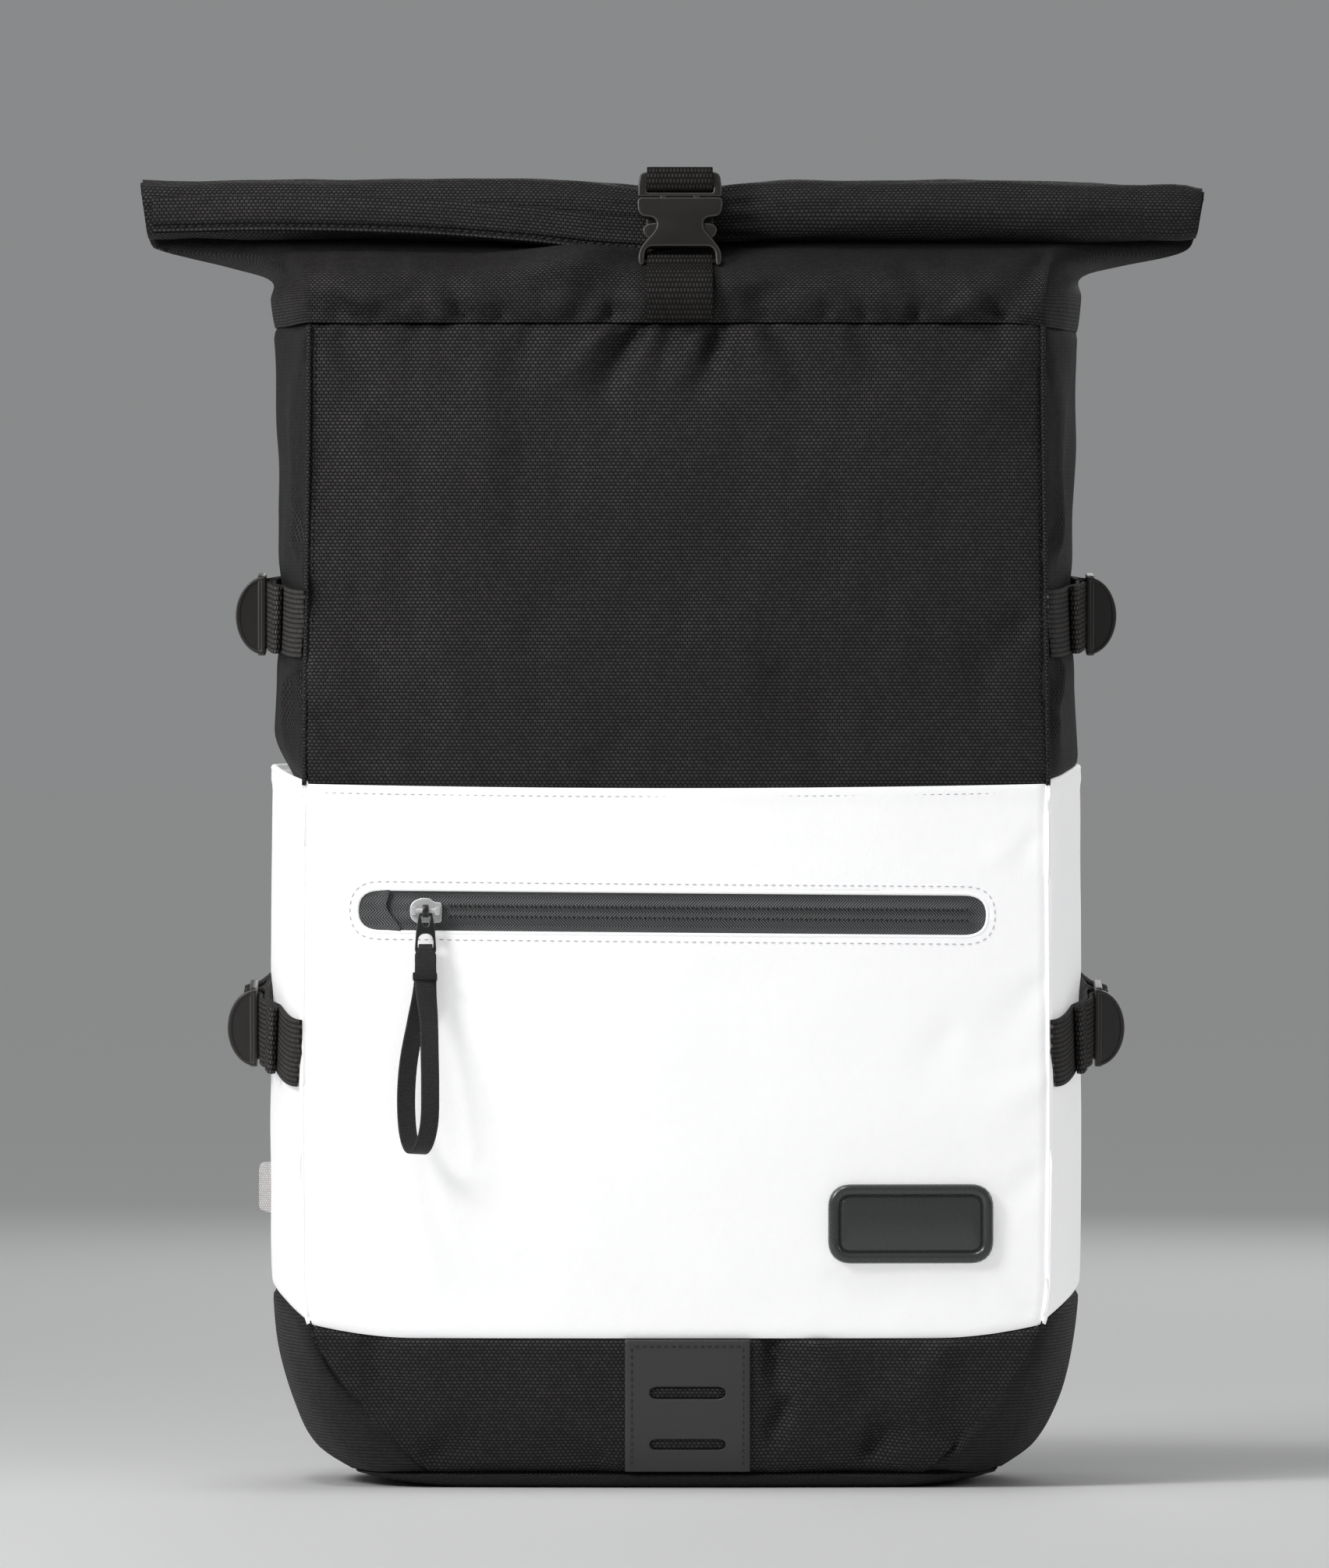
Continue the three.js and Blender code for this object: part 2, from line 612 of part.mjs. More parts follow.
// Hand loop of the zip pull: distance out of its plane and height, all round the loop
function pullLoop() {
  const throughPull = [[1.5, -24], [1.5, -17], [1.55, -14.2], [0.8, -12.8]];
  const backUp = throughPull.map(([n, z]) => [-n, z]).reverse();
  const outer = [[-2.8, -31], [-6, -40], [-9.6, -51], [-11.4, -61], [-10.6, -70], [-7.2, -76], [-3.2, -78]];
  const inner = [[0.6, -76.2], [3.6, -70], [4.6, -61], [4, -51], [3, -40], [2.1, -31]];
  const round = [...throughPull, ...backUp, ...outer, ...inner];
  const twist = (z) => THREE.MathUtils.degToRad(30) * smooth(18, 40, -z);
  const path = round.map(([n, z]) => {
    const aside = 0.05 * (z + 13);
    return vec(aside - n * Math.sin(twist(z)), n * Math.cos(twist(z)), z);
  });
  const across = (i) => vec(Math.cos(twist(round[i][1])), Math.sin(twist(round[i][1])), 0);
  const wide = (i) => mix(4.8, 8, smooth(13.5, 20, -round[i][1]));
  const band = ribbon(path, across, wide, 1, true);
  const tack = box(9, 4.8, 3.4, -0.6, 0, -24.5);
  return hang(join(band, tack));
}

// Trim
function lightPatch() {
  const middle = 4.2;
  const half = 23.2;
  const sheet = wall((u, v) => {
    const x = middle + half * (2 * u - 1);
    const z = mix(baseSeam + 0.8, bootTop - 0.6, v);
    return vec(x, skinY(x, z) - cloth - gap, z);
  }, 3, 6, cloth);
  const slots = [[32.4, 2.3], [13, 1.9]].map(([z, halfHigh]) =>
    plate(roundedShape(13.6, halfHigh, halfHigh - 0.1), -40, -100, 3).translate(middle - 1.2, 0, z));
  return cut(sheet, ...slots);
}

function badge() {
  const x = 87.4;
  const z = 96.6;
  const turn = Math.atan2(skinY(x + 20, z) - skinY(x - 20, z), 40);
  const plaque = plate(roundedShape(30.6, 14.7, 5.8), 0, -2.8);
  const field = plate(roundedShape(27.1, 11.2, 3.4), -1.7, -5);
  return cut(plaque, field).rotateZ(turn).translate(x, skinY(x, z) - 0.75, z);
}

function sideTag() {
  const shape = new THREE.Shape();
  shape.moveTo(0, 0);
  shape.lineTo(-4, 1.4);
  shape.lineTo(-4.6, 3);
  shape.lineTo(-4.6, 17);
  shape.lineTo(-3.6, 19);
  shape.lineTo(0, 19.4);
  return plate(shape, 0.7, -0.7).translate(-sideX(9, 108) - gap, 9, 98.8);
}

// Side compression straps. Along a strap s runs from the front seam, and h is the height above the bag's
// side, or above one level plane where the adjuster sits.
const adjusterS = 61.5;

function sideFrame(side, strap) {
  const tilt = Math.atan(strap.rise);
  const startY = levelAt(strap.z).frontY + 1;
  const depth = (s) => startY + s * Math.cos(tilt);
  const height = (s) => strap.z + s * Math.sin(tilt);
  const surface = (s) => {
    const half = strapWide / 2;
    return Math.max(...[-half, 0, half].map((off) => sideX(depth(s), height(s) + off)));
  };
  const plane = Math.max(surface(adjusterS - 12), surface(adjusterS), surface(adjusterS + 12));
  const level = (s) => mix(surface(s), plane, smooth(38, 50, s) * (1 - smooth(78, 96, s)));
  return {
    across: () => vec(0, -Math.sin(tilt), Math.cos(tilt)),
    at: (s, h) => vec(side * (level(s) + h), depth(s), height(s)),
    place: (geometry) => {
      const basis = new THREE.Matrix4().makeBasis(
        vec(0, Math.cos(tilt), Math.sin(tilt)),
        vec(0, -Math.sin(tilt), Math.cos(tilt)),
        vec(side, 0, 0),
      );
      geometry.applyMatrix4(basis.setPosition(side * plane, depth(adjusterS), height(adjusterS)));
      return side > 0 ? geometry : flipped(geometry);
    },
  };
}

function flipped(geometry) {
  const index = geometry.index.array;
  for (let i = 0; i < index.length; i += 3) [index[i + 1], index[i + 2]] = [index[i + 2], index[i + 1]];
  return geometry;
}

function sideStrap(side, strap) {
  const frame = sideFrame(side, strap);
  const start = [[0.6, 1.5], [5, 1.4], [10, 1.3]];
  const lying = [18, 26, 34, 42, 50].map((s) => [s, 1.2]);
  const roundBar = [
    [62, 1.3], [64.4, 2], [65.2, 3.6], [65.2, 7.2], [63.8, 8.7], [61.5, 9], [59.4, 8.7], [58.2, 7.2],
    [57.9, 5.2], [56.6, 3.8], [54.5, 3.15],
  ];
  const back = [50, 42, 34, 28.4].map((s) => [s, 3.05]);
  const hem = [[27.4, 3.85], [28.4, 4.7], [33.6, 4.7]];
  const route = [...start, ...lying, ...roundBar, ...back, ...hem];
  return ribbon(route.map(([s, h]) => frame.at(s, h)), frame.across, strapWide, strapThick);
}

function sideAnchor(side, strap) {
  const frame = sideFrame(side, strap);
  const lying = [[119, 1.3], [112, 1.2], [104, 1.2], [96, 1.2], [88, 1.2], [80, 1.3]];
  const roundBar = [[74, 1.9], [71, 2.9], [68.6, 3.3], [67.6, 4.6], [67.6, 6.6], [68.4, 8.2], [70.6, 9]];
  const back = [[73, 8.6], [77, 6.3], [82, 3.8], [88, 3.05], [98, 3.05]];
  const route = [...lying, ...roundBar, ...back];
  return ribbon(route.map(([s, h]) => frame.at(s, h)), frame.across, strapWide, strapThick);
}

function sideAdjuster(side, strap) {
  const frame = sideFrame(side, strap);
  const outline = roundedShape(10.5, 15.8, 2);
  const slots = [-4.5, 4.5].map((s) => box(6, 26.2, 9, s, 0, 6));
  const bars = slab(outline, 3, 2).translate(0, 0, 4.5);
  const half = new THREE.Shape();
  half.absellipse(0, 0, 10.6, 14.4, -Math.PI / 2, Math.PI / 2, false);
  half.closePath();
  const tab = slab(half, 2, 8).rotateY(-Math.PI / 2).translate(-8.6, 0, 4.6);
  return frame.place(join(cut(bars, ...slots), tab));
}

// Carrying gear on the back
function shoulderStrap(side) {
  const route = [
    { x: 46, y: 60, z: 410, wide: 50, thick: 6 },
    { x: 46.5, y: 67, z: 409, wide: 52, thick: 7 },
    { x: 48, y: 75, z: 402, wide: 56, thick: 9 },
    { x: 51, y: 82, z: 386, wide: 60, thick: 10 },
    { x: 56, y: 86, z: 355, wide: 62, thick: 10 },
    { x: 62, y: 87.5, z: 315, wide: 62, thick: 10 },
    { x: 69, y: 87, z: 270, wide: 60, thick: 10 },
    { x: 77, y: 84.5, z: 225, wide: 56, thick: 10 },
    { x: 85, y: 80, z: 182, wide: 50, thick: 9 },
    { x: 91, y: 75.5, z: 148, wide: 42, thick: 7 },
    { x: 92.4, y: 74.4, z: 140, wide: 30, thick: 5 },
  ];
  const quarter = [[0.5, 0.18], [0.46, 0.5]];
  const half = [...quarter, [0, 0.5], ...quarter.map(([a, b]) => [-a, b]).reverse()];
  const rim = [...half, ...half.map(([a, b]) => [-a, -b])];
  const path = route.map((row) => vec(side * row.x, row.y, row.z));
  const loops = route.map((row, i) => {
    const before = path[Math.max(i - 1, 0)];
    const after = path[Math.min(i + 1, path.length - 1)];
    const run = after.clone().sub(before).normalize();
    const across = vec(1, 0, 0).addScaledVector(run, -run.x).normalize();
    const face = run.clone().cross(across);
    across.multiplyScalar(row.wide);
    face.multiplyScalar(row.thick);
    return rim.map(([a, b]) => path[i].clone().addScaledVector(across, a).addScaledVector(face, b));
  });
  return loft(loops);
}

// The lower webbing of a shoulder strap threads its adjuster from behind and hangs down in front of it.
const adjusterAt = { x: 94.8, y: 72.8, z: 127.8 };
const gearAcross = (side) => vec(0.95, 0, side * 0.31).normalize();

function shoulderAdjuster(side) {
  const frame = cut(box(32, 4, 19.5), box(26, 9, 5.2, 0, 0, -4.1), box(26, 9, 4, 0, 0, 4.2));
  const lean = Math.atan2(gearAcross(side).z, gearAcross(side).x);
  return frame.rotateY(-lean).translate(side * adjusterAt.x, adjusterAt.y, adjusterAt.z);
}

function shoulderWebbing(side) {
  const rising = [[120.6, 59.2, 42], [118.4, 59.6, 50], [113, 63, 68], [106, 66.4, 90], [99.8, 68.4, 110]];
  const roundBar = [[97, 69, 118], [96.2, 69.9, 122], [95.9, 72.8, 123.8], [96.1, 75.7, 122.4]];
  const tail = [[97, 76.8, 118], [101.7, 77.6, 99], [107.5, 78.2, 79]];
  const path = [...rising, ...roundBar, ...tail].map(([x, y, z]) => vec(side * x, y, z));
  return ribbon(path, () => gearAcross(side), strapWide, strapThick);
}

function haulLoop() {
  const shape = new THREE.Shape();
  shape.moveTo(43, 0);
  shape.lineTo(42, 18);
  shape.bezierCurveTo(40, 40, 20, 46, 0, 46);
  shape.bezierCurveTo(-20, 46, -40, 40, -42, 18);
  shape.lineTo(-43, 0);
  shape.lineTo(-24, 0);
  shape.lineTo(-24, 14);
  shape.bezierCurveTo(-23, 24, -12, 27, 0, 27);
  shape.bezierCurveTo(12, 27, 23, 24, 24, 14);
  shape.lineTo(24, 0);
  shape.closePath();
  const band = plate(shape, 1.5, -1.5, 6).rotateX(-THREE.MathUtils.degToRad(50));
  return band.translate(0, levelAt(424).backY + 1.3, 424);
}

// Finishes
const finish = (color, roughness, metalness = 0) =>
  new THREE.MeshStandardMaterial({ color, roughness, metalness });
const finishes = {
  weave: finish(0x24232a, 0.8),
  pale: finish(0xf4f5f6, 0.55),
  webbing: finish(0x1b1b1e, 0.75),
  coated: finish(0x222226, 0.6),
  plastic: finish(0x151517, 0.45),
  rubber: finish(0x2f3433, 0.6),
  zip: finish(0x3a3d40, 0.7),
  metal: finish(0xb9bcc0, 0.3, 1),
  darkMetal: finish(0x2b2c2e, 0.4, 1),
};

const group = new THREE.Group();
group.name = "laptop_backpack";

function add(name, geometry, material) {
  const mesh = new THREE.Mesh(geometry, finishes[material]);
  mesh.name = name;
  group.add(mesh);
}

add("base_panel", basePanel(), "weave");
add("boot", boot(), "weave");
add("front_panel", frontPanel(), "weave");
add("pocket_front", pocketFront(), "pale");
add("back_panel", backPanel(), "weave");
add("roll_top", rollTop(), "weave");
add("closure_strap_lower", closureStrapLower(), "webbing");
add("closure_strap_upper", closureStrapUpper(), "webbing");
add("buckle_socket", buckleSocket(), "plastic");
add("buckle_plug", bucklePlug(), "plastic");
add("zip_tape", zipTape(), "zip");
add("zip_flap", zipFlap(), "zip");
add("zip_slider", zipSlider(), "metal");
add("zip_pull", zipPull(), "darkMetal");
add("pull_loop", pullLoop(), "webbing");
add("light_patch", lightPatch(), "coated");
add("badge", badge(), "rubber");
add("side_tag", sideTag(), "webbing");
add("haul_loop", haulLoop(), "webbing");
for (const [sideName, side] of [["left", -1], ["right", 1]]) {
  add("gusset_" + sideName, gusset(side), "weave");
  add("pocket_side_" + sideName, pocketSide(side), "pale");
  add("shoulder_strap_" + sideName, shoulderStrap(side), "weave");
  add("shoulder_webbing_" + sideName, shoulderWebbing(side), "webbing");
  add("shoulder_adjuster_" + sideName, shoulderAdjuster(side), "plastic");
  for (const strap of sideStraps) {
    const place = strap.level + "_" + sideName;
    add("side_strap_" + place, sideStrap(side, strap), "webbing");
    add("side_anchor_" + place, sideAnchor(side, strap), "webbing");
    add("side_adjuster_" + place, sideAdjuster(side, strap), "plastic");
  }
}

export default group;
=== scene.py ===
import math

import bmesh
import bpy
from mathutils import Matrix, Vector, noise


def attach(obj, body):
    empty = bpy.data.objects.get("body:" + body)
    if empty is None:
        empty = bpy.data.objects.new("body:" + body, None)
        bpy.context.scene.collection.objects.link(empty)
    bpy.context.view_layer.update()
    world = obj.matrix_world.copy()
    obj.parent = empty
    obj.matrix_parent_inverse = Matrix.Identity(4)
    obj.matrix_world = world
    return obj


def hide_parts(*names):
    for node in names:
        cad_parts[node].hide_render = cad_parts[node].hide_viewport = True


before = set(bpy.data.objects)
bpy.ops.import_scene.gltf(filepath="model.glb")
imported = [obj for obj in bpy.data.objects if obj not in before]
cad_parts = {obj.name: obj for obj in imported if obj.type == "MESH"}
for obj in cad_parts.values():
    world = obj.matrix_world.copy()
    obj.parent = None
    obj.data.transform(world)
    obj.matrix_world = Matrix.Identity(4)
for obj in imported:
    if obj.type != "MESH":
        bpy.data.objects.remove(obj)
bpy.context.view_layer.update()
mm = 0.001
sides = (("left", -1), ("right", 1))
forward = (0, -1, 0)
cutDepths = (-100, -50)  # from before the bag's front to behind it, for windows cut in the cloth

# Camera, floor and light
studio = {
    "eye": (-0.0043, -6.07, 0.31),
    "aim": (-0.0043, -0.07, 0.26),
    "frameHigh": 0.578,  # what the picture's height takes in at the aim
    "floorSize": 60,
    "floorColor": (0.715, 0.715, 0.715, 1),
    "sky": (0.78, 0.79, 0.8, 1),
    "skyStrength": 0.32,
    "sunFrom": (-1.6, -0.9, 2.2),
    "sunPower": 0.4,
    "sunAngle": 25,
    "floorRough": 0.7,
    "sensor": 36,
}
lamps = [  # place, what it points at, side of the square, power
    {"at": (-0.9, -0.8, 0.85), "to": (-0.05, 0, 0.3), "size": 0.35, "power": 7.6},
    {"at": (1.7, -0.1, 0.8), "to": (0, 0, 0.3), "size": 0.5, "power": 2},
    {"at": (-0.5, -0.75, 2.0), "to": (0, 0, 0.4), "size": 0.4, "power": 8},
    {"at": (0.5, 2.2, 1.3), "to": (0, 0, 0.2), "size": 1.4, "power": 9},
]


def aimed(thing, at, to):
    thing.location = at
    thing.rotation_euler = (Vector(to) - Vector(at)).to_track_quat("-Z", "Y").to_euler()
    bpy.context.scene.collection.objects.link(thing)


def setStudio():
    lens = bpy.data.cameras.new("camera")
    reach = (Vector(studio["eye"]) - Vector(studio["aim"])).length
    lens.sensor_width = studio["sensor"]
    lens.lens = lens.sensor_width * reach / studio["frameHigh"]
    camera = bpy.data.objects.new("camera", lens)
    aimed(camera, studio["eye"], studio["aim"])
    bpy.context.scene.camera = camera
    for i, lamp in enumerate(lamps):
        light = bpy.data.lights.new(f"lamp{i}", "AREA")
        light.size = lamp["size"]
        light.energy = lamp["power"]
        aimed(bpy.data.objects.new(f"lamp{i}", light), lamp["at"], lamp["to"])
    sun = bpy.data.lights.new("sun", "SUN")
    sun.energy = studio["sunPower"]
    sun.angle = math.radians(studio["sunAngle"])
    aimed(bpy.data.objects.new("sun", sun), studio["sunFrom"], (0, 0, 0))
    world = bpy.data.worlds.new("sky")
    world.use_nodes = True
    glow = world.node_tree.nodes["Background"].inputs
    glow["Color"].default_value = studio["sky"]
    glow["Strength"].default_value = studio["skyStrength"]
    bpy.context.scene.world = world
    bpy.context.scene.view_settings.view_transform = "Standard"
    bm = bmesh.new()
    bmesh.ops.create_grid(bm, x_segments=1, y_segments=1, size=studio["floorSize"] / 2)
    floor = meshObject("floor", bm)
    paint = bpy.data.materials.new("floor")
    paint.use_nodes = True
    coat = paint.node_tree.nodes["Principled BSDF"].inputs
    coat["Base Color"].default_value = studio["floorColor"]
    coat["Roughness"].default_value = studio["floorRough"]
    floor.data.materials.append(paint)


# Mesh helpers, all sizes in millimetres
def mix(a, b, share):
    return a + (b - a) * share


def smooth(low, high, value):
    share = min(max((value - low) / (high - low), 0), 1)
    return share * share * (3 - 2 * share)


def hump(value, middle, wide):  # 1 in the middle, fading to both sides
    return math.exp(-((value - middle) / wide) ** 2)


def meshObject(name, bm):
    mesh = bpy.data.meshes.new(name)
    for face in bm.faces:
        face.smooth = True
    bm.to_mesh(mesh)
    bm.free()
    made = bpy.data.objects.new(name, mesh)
    bpy.context.scene.collection.objects.link(made)
    return made


def bake(piece):  # the modifiers' result becomes the mesh
    bpy.context.view_layer.update()
    done = piece.evaluated_get(bpy.context.evaluated_depsgraph_get())
    mesh = bpy.data.meshes.new_from_object(done)
    piece.modifiers.clear()
    piece.data = mesh


def cutWith(piece, cutter):
    tool = piece.modifiers.new("cut", "BOOLEAN")
    tool.object = cutter
    tool.solver = "EXACT"
    bake(piece)
    bpy.data.objects.remove(cutter)


def thicken(piece, thick, offset, soft):
    shell = piece.modifiers.new("cloth", "SOLIDIFY")
    shell.thickness = thick * mm
    shell.offset = offset
    if soft:
        edge = piece.modifiers.new("edge", "BEVEL")
        edge.width = soft * mm
        edge.segments = 2
        edge.limit_method = "ANGLE"
        edge.angle_limit = math.radians(50)


def clothSheet(name, place, uSteps, vSteps, thick=1.2, offset=-1, soft=0.3,
               close=False, flip=False, capped=False):  # place gives a point and its threads for u and v
    bm = bmesh.new()
    bmesh.ops.create_grid(bm, x_segments=uSteps, y_segments=vSteps, size=0.5)
    threads = bm.loops.layers.uv.new("cloth")
    laid = {}
    for vert in bm.verts:
        point, laid[vert] = place(vert.co.x + 0.5, vert.co.y + 0.5)
        vert.co = point * mm
    for face in bm.faces:
        for loop in face.loops:
            loop[threads].uv = [along * mm for along in laid[loop.vert]]
    if close:
        bmesh.ops.remove_doubles(bm, verts=bm.verts, dist=1e-6)
    if capped:
        bmesh.ops.holes_fill(bm, edges=[edge for edge in bm.edges if edge.is_boundary], sides=0)
        bmesh.ops.recalc_face_normals(bm, faces=bm.faces)
    if flip:
        bmesh.ops.reverse_faces(bm, faces=bm.faces)
    piece = meshObject(name, bm)
    if thick:
        thicken(piece, thick, offset, soft)
    return piece


def smoothRoute(points, step, ring=False):  # even points along a curve through the given ones
    count = len(points)
    parts = 12

    def at(i):
        return Vector(points[i % count] if ring else points[min(max(i, 0), count - 1)])

    dense = []
    for i in range(count if ring else count - 1):
        a, b, c, d = (at(i + k) for k in (-1, 0, 1, 2))
        for j in range(parts):
            t = j / parts
            bend = (2 * a - 5 * b + 4 * c - d) * t ** 2 + (3 * b - a - 3 * c + d) * t ** 3
            dense.append(0.5 * (2 * b + (c - a) * t + bend))
    dense.append(at(0) if ring else at(count - 1))
    run = [0]
    for before, after in zip(dense, dense[1:]):
        run.append(run[-1] + (after - before).length)
    steps = max(2, round(run[-1] / step))
    route, k = [], 0
    for i in range(steps + 1):
        want = run[-1] * i / steps
        while k < len(run) - 2 and run[k + 1] < want:
            k += 1
        share = (want - run[k]) / max(run[k + 1] - run[k], 1e-9)
        route.append(dense[k].lerp(dense[k + 1], share))
    return route, run[-1]


def heading(route, i, ring=False):
    last = len(route) - 1
    before = route[(i - 1) % last if ring else max(i - 1, 0)]
    after = route[(i + 1) % last if ring else min(i + 1, last)]
    return (after - before).normalized()


def webbingBand(name, points, across, wide, thick, step=1.5):
    route, length = smoothRoute(points, step)
    last = len(route) - 1
    side = Vector(across).normalized()

    def place(u, v):
        i = round(v * last)
        off = (u - 0.5) * wide
        return route[i] + side * off, (off, length * (i / last))

    return clothSheet(name, place, 6, last, thick, 0, thick * 0.3)


def tube(name, points, radius, step=2.0, around=8, ring=False, up=(0, 0, 1)):
    route, length = smoothRoute(points, step, ring)
    last = len(route) - 1

    def place(u, v):
        i = round(v * last)
        run = heading(route, i, ring)
        out = run.cross(Vector(up))
        out = out.normalized() if out.length > 0.05 else run.orthogonal().normalized()
        angle = 2 * math.pi * u
        turn = out * math.cos(angle) + run.cross(out) * math.sin(angle)
        return route[i] + turn * radius, (angle * radius, length * v)

    return clothSheet(name, place, around, last, 0, close=True, capped=True)


def evenRing(points, step):  # closed line resampled without rounding it
    spots = []
    for a, b in zip(points, points[1:] + points[:1]):
        count = max(1, round((b - a).length / step))
        spots += [a.lerp(b, i / count) for i in range(count)]
    return spots


def softLoop(corners, steps=5):  # corners as x, z and rounding
    loop = []
    count = len(corners)
    most = 0.49  # of a side, so that two roundings never meet
    for i, (x, z, radius) in enumerate(corners):
        here = Vector((x, z))
        before = Vector(corners[i - 1][:2]) - here
        after = Vector(corners[(i + 1) % count][:2]) - here
        if radius <= 0:
            loop.append(here)
            continue
        start = here + before.normalized() * min(radius, before.length * most)
        end = here + after.normalized() * min(radius, after.length * most)
        for j in range(steps + 1):
            t = j / steps
            loop.append(start * (1 - t) ** 2 + here * 2 * t * (1 - t) + end * t ** 2)
    return loop


def evenSided(corners):  # the right half from top to bottom, and its mirror image
    return corners + [(-x, z, radius) for x, z, radius in reversed(corners)]


def roundBox(halfWide, halfHigh, radius, x=0.0, z=0.0):
    corners = [(1, 1), (1, -1), (-1, -1), (-1, 1)]
    return [(x + a * halfWide, z + b * halfHigh, radius) for a, b in corners]


def addSlab(bm, loops, near, far, soft=0.5, segments=3, steps=5):  # outline, then holes, in X and Z
    rim = bm.faces.layers.float.get("rim") or bm.faces.layers.float.new("rim")
    sharpTurn = 0.9
    edges = []
    made = []
    for corners in loops:
        verts = [bm.verts.new((p.x, near, p.y)) for p in softLoop(corners, steps)]
        made += verts
        edges += [bm.edges.new((a, b)) for a, b in zip(verts, verts[1:] + verts[:1])]
    filled = bmesh.ops.triangle_fill(bm, edges=edges, use_beauty=True, use_dissolve=False)["geom"]
    faces = [g for g in filled if isinstance(g, bmesh.types.BMFace)]
    grown = bmesh.ops.extrude_face_region(bm, geom=faces)["geom"]
    back = [g for g in grown if isinstance(g, bmesh.types.BMVert)]
    bmesh.ops.translate(bm, verts=back, vec=(0, far - near, 0))
    whole = made + back
    shell = list({face for vert in whole for face in vert.link_faces})
    bmesh.ops.recalc_face_normals(bm, faces=shell)
    if soft:
        touching = {e for vert in whole for e in vert.link_edges}
        sharp = [e for e in touching if len(e.link_faces) == 2 and e.calc_face_angle(0) > sharpTurn]
        cut = bmesh.ops.bevel(bm, geom=sharp, offset=soft, offset_type="OFFSET", affect="EDGES",
                              segments=segments, profile=0.5, material=-1, loop_slide=False,
                              clamp_overlap=False)
        # The bevel faces are marked rim; the moulded finishes paint a highlight on them.
        for face in cut["faces"]:
            face[rim] = 1
        whole = list({v for v in whole if v.is_valid} | set(cut["verts"]))
    return whole


def addBar(bm, radius, long, segments, at):  # a round bar along X
    matrix = Matrix.Translation(at) @ Matrix.Rotation(math.pi / 2, 4, "Y")
    bmesh.ops.create_cone(bm, cap_ends=True, segments=segments, radius1=radius, radius2=radius,
                          depth=long, matrix=matrix)


def placed(name, bm, matrix=Matrix.Identity(4), sharpest=35):
    bmesh.ops.transform(bm, matrix=Matrix.Scale(mm, 4) @ matrix, verts=bm.verts)
    if matrix.determinant() < 0:  # a mirrored piece would be inside out
        bmesh.ops.reverse_faces(bm, faces=bm.faces)
    piece = meshObject(name, bm)
    piece.data.set_sharp_from_angle(angle=math.radians(sharpest))
    return piece


def stitchRow(name, lines, long=2.3, pitch=3.1, fat=0.32):  # lines of points, each with the cloth's normal
    bm = bmesh.new()
    size = Matrix.Diagonal((long / 2, fat, fat, 1))
    for line, normal in lines:
        route = smoothRoute(line, pitch)[0]
        up = Vector(normal).normalized()
        for a, b in zip(route, route[1:]):
            run = (b - a).normalized()
            side = up.cross(run).normalized()
            turn = Matrix((run, side, run.cross(side))).transposed().to_4x4()
            spot = Matrix.Translation((a + b) / 2 + up * fat * 0.4)
            bmesh.ops.create_icosphere(bm, subdivisions=1, radius=1, matrix=spot @ turn @ size)
    return placed(name, bm, sharpest=180)


def dress(piece, material, body="bag", replaces=()):
    piece.data.materials.clear()
    piece.data.materials.append(finishes[material])
    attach(piece, body)
    if replaces:
        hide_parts(*replaces)
    return piece


# Node groups and finishes
def wire(tree, socket, value):
    if isinstance(value, bpy.types.NodeSocket):
        tree.links.new(value, socket)
    else:
        socket.default_value = value


def mathNode(tree, operation, *values):
    made = tree.nodes.new("ShaderNodeMath")
    made.operation = operation
    for socket, value in zip(made.inputs, values):
        wire(tree, socket, value)
    return made.outputs[0]


def newGroup(name, inputs, outputs):
    tree = bpy.data.node_groups.new(name, "ShaderNodeTree")
    for label in inputs:
        kind = "NodeSocketVector" if label == "Vector" else "NodeSocketFloat"
        tree.interface.new_socket(name=label, in_out="INPUT", socket_type=kind)
    for label in outputs:
        tree.interface.new_socket(name=label, in_out="OUTPUT", socket_type="NodeSocketFloat")
    return tree, tree.nodes.new("NodeGroupInput").outputs, tree.nodes.new("NodeGroupOutput").inputs


def split(tree, vector):
    made = tree.nodes.new("ShaderNodeSeparateXYZ")
    wire(tree, made.inputs[0], vector)
    return made.outputs


def joined(tree, x, y):
    made = tree.nodes.new("ShaderNodeCombineXYZ")
    wire(tree, made.inputs[0], x)
    wire(tree, made.inputs[1], y)
    return made.outputs[0]


def domed(tree, value):  # a round rise on each whole step of the value
    off = mathNode(tree, "MULTIPLY_ADD", mathNode(tree, "FRACT", value), 2.0, -1.0)
    return mathNode(tree, "SUBTRACT", 1.0, mathNode(tree, "POWER", mathNode(tree, "ABSOLUTE", off), 2.0))


def makeWeaveGroup():  # floats of thread in rows, each row half a thread on from the last
    tree, given, out = newGroup("weaveThreads", ["Vector", "Pitch", "Row"], ["Height", "Thread"])
    x, y, z = split(tree, given["Vector"])
    along = mathNode(tree, "DIVIDE", x, given["Pitch"])
    row = mathNode(tree, "DIVIDE", y, given["Row"])
    rowIndex = mathNode(tree, "FLOOR", row)
    shifted = mathNode(tree, "ADD", along, mathNode(tree, "MULTIPLY", rowIndex, 0.5))
    dome = mathNode(tree, "MULTIPLY", domed(tree, shifted), domed(tree, row))
    wire(tree, out["Height"], mathNode(tree, "SQRT", mathNode(tree, "MAXIMUM", dome, 0.0)))
    chance = tree.nodes.new("ShaderNodeTexWhiteNoise")
    wire(tree, chance.inputs["Vector"], joined(tree, mathNode(tree, "FLOOR", shifted), rowIndex))
    wire(tree, out["Thread"], chance.outputs["Value"])
    return tree


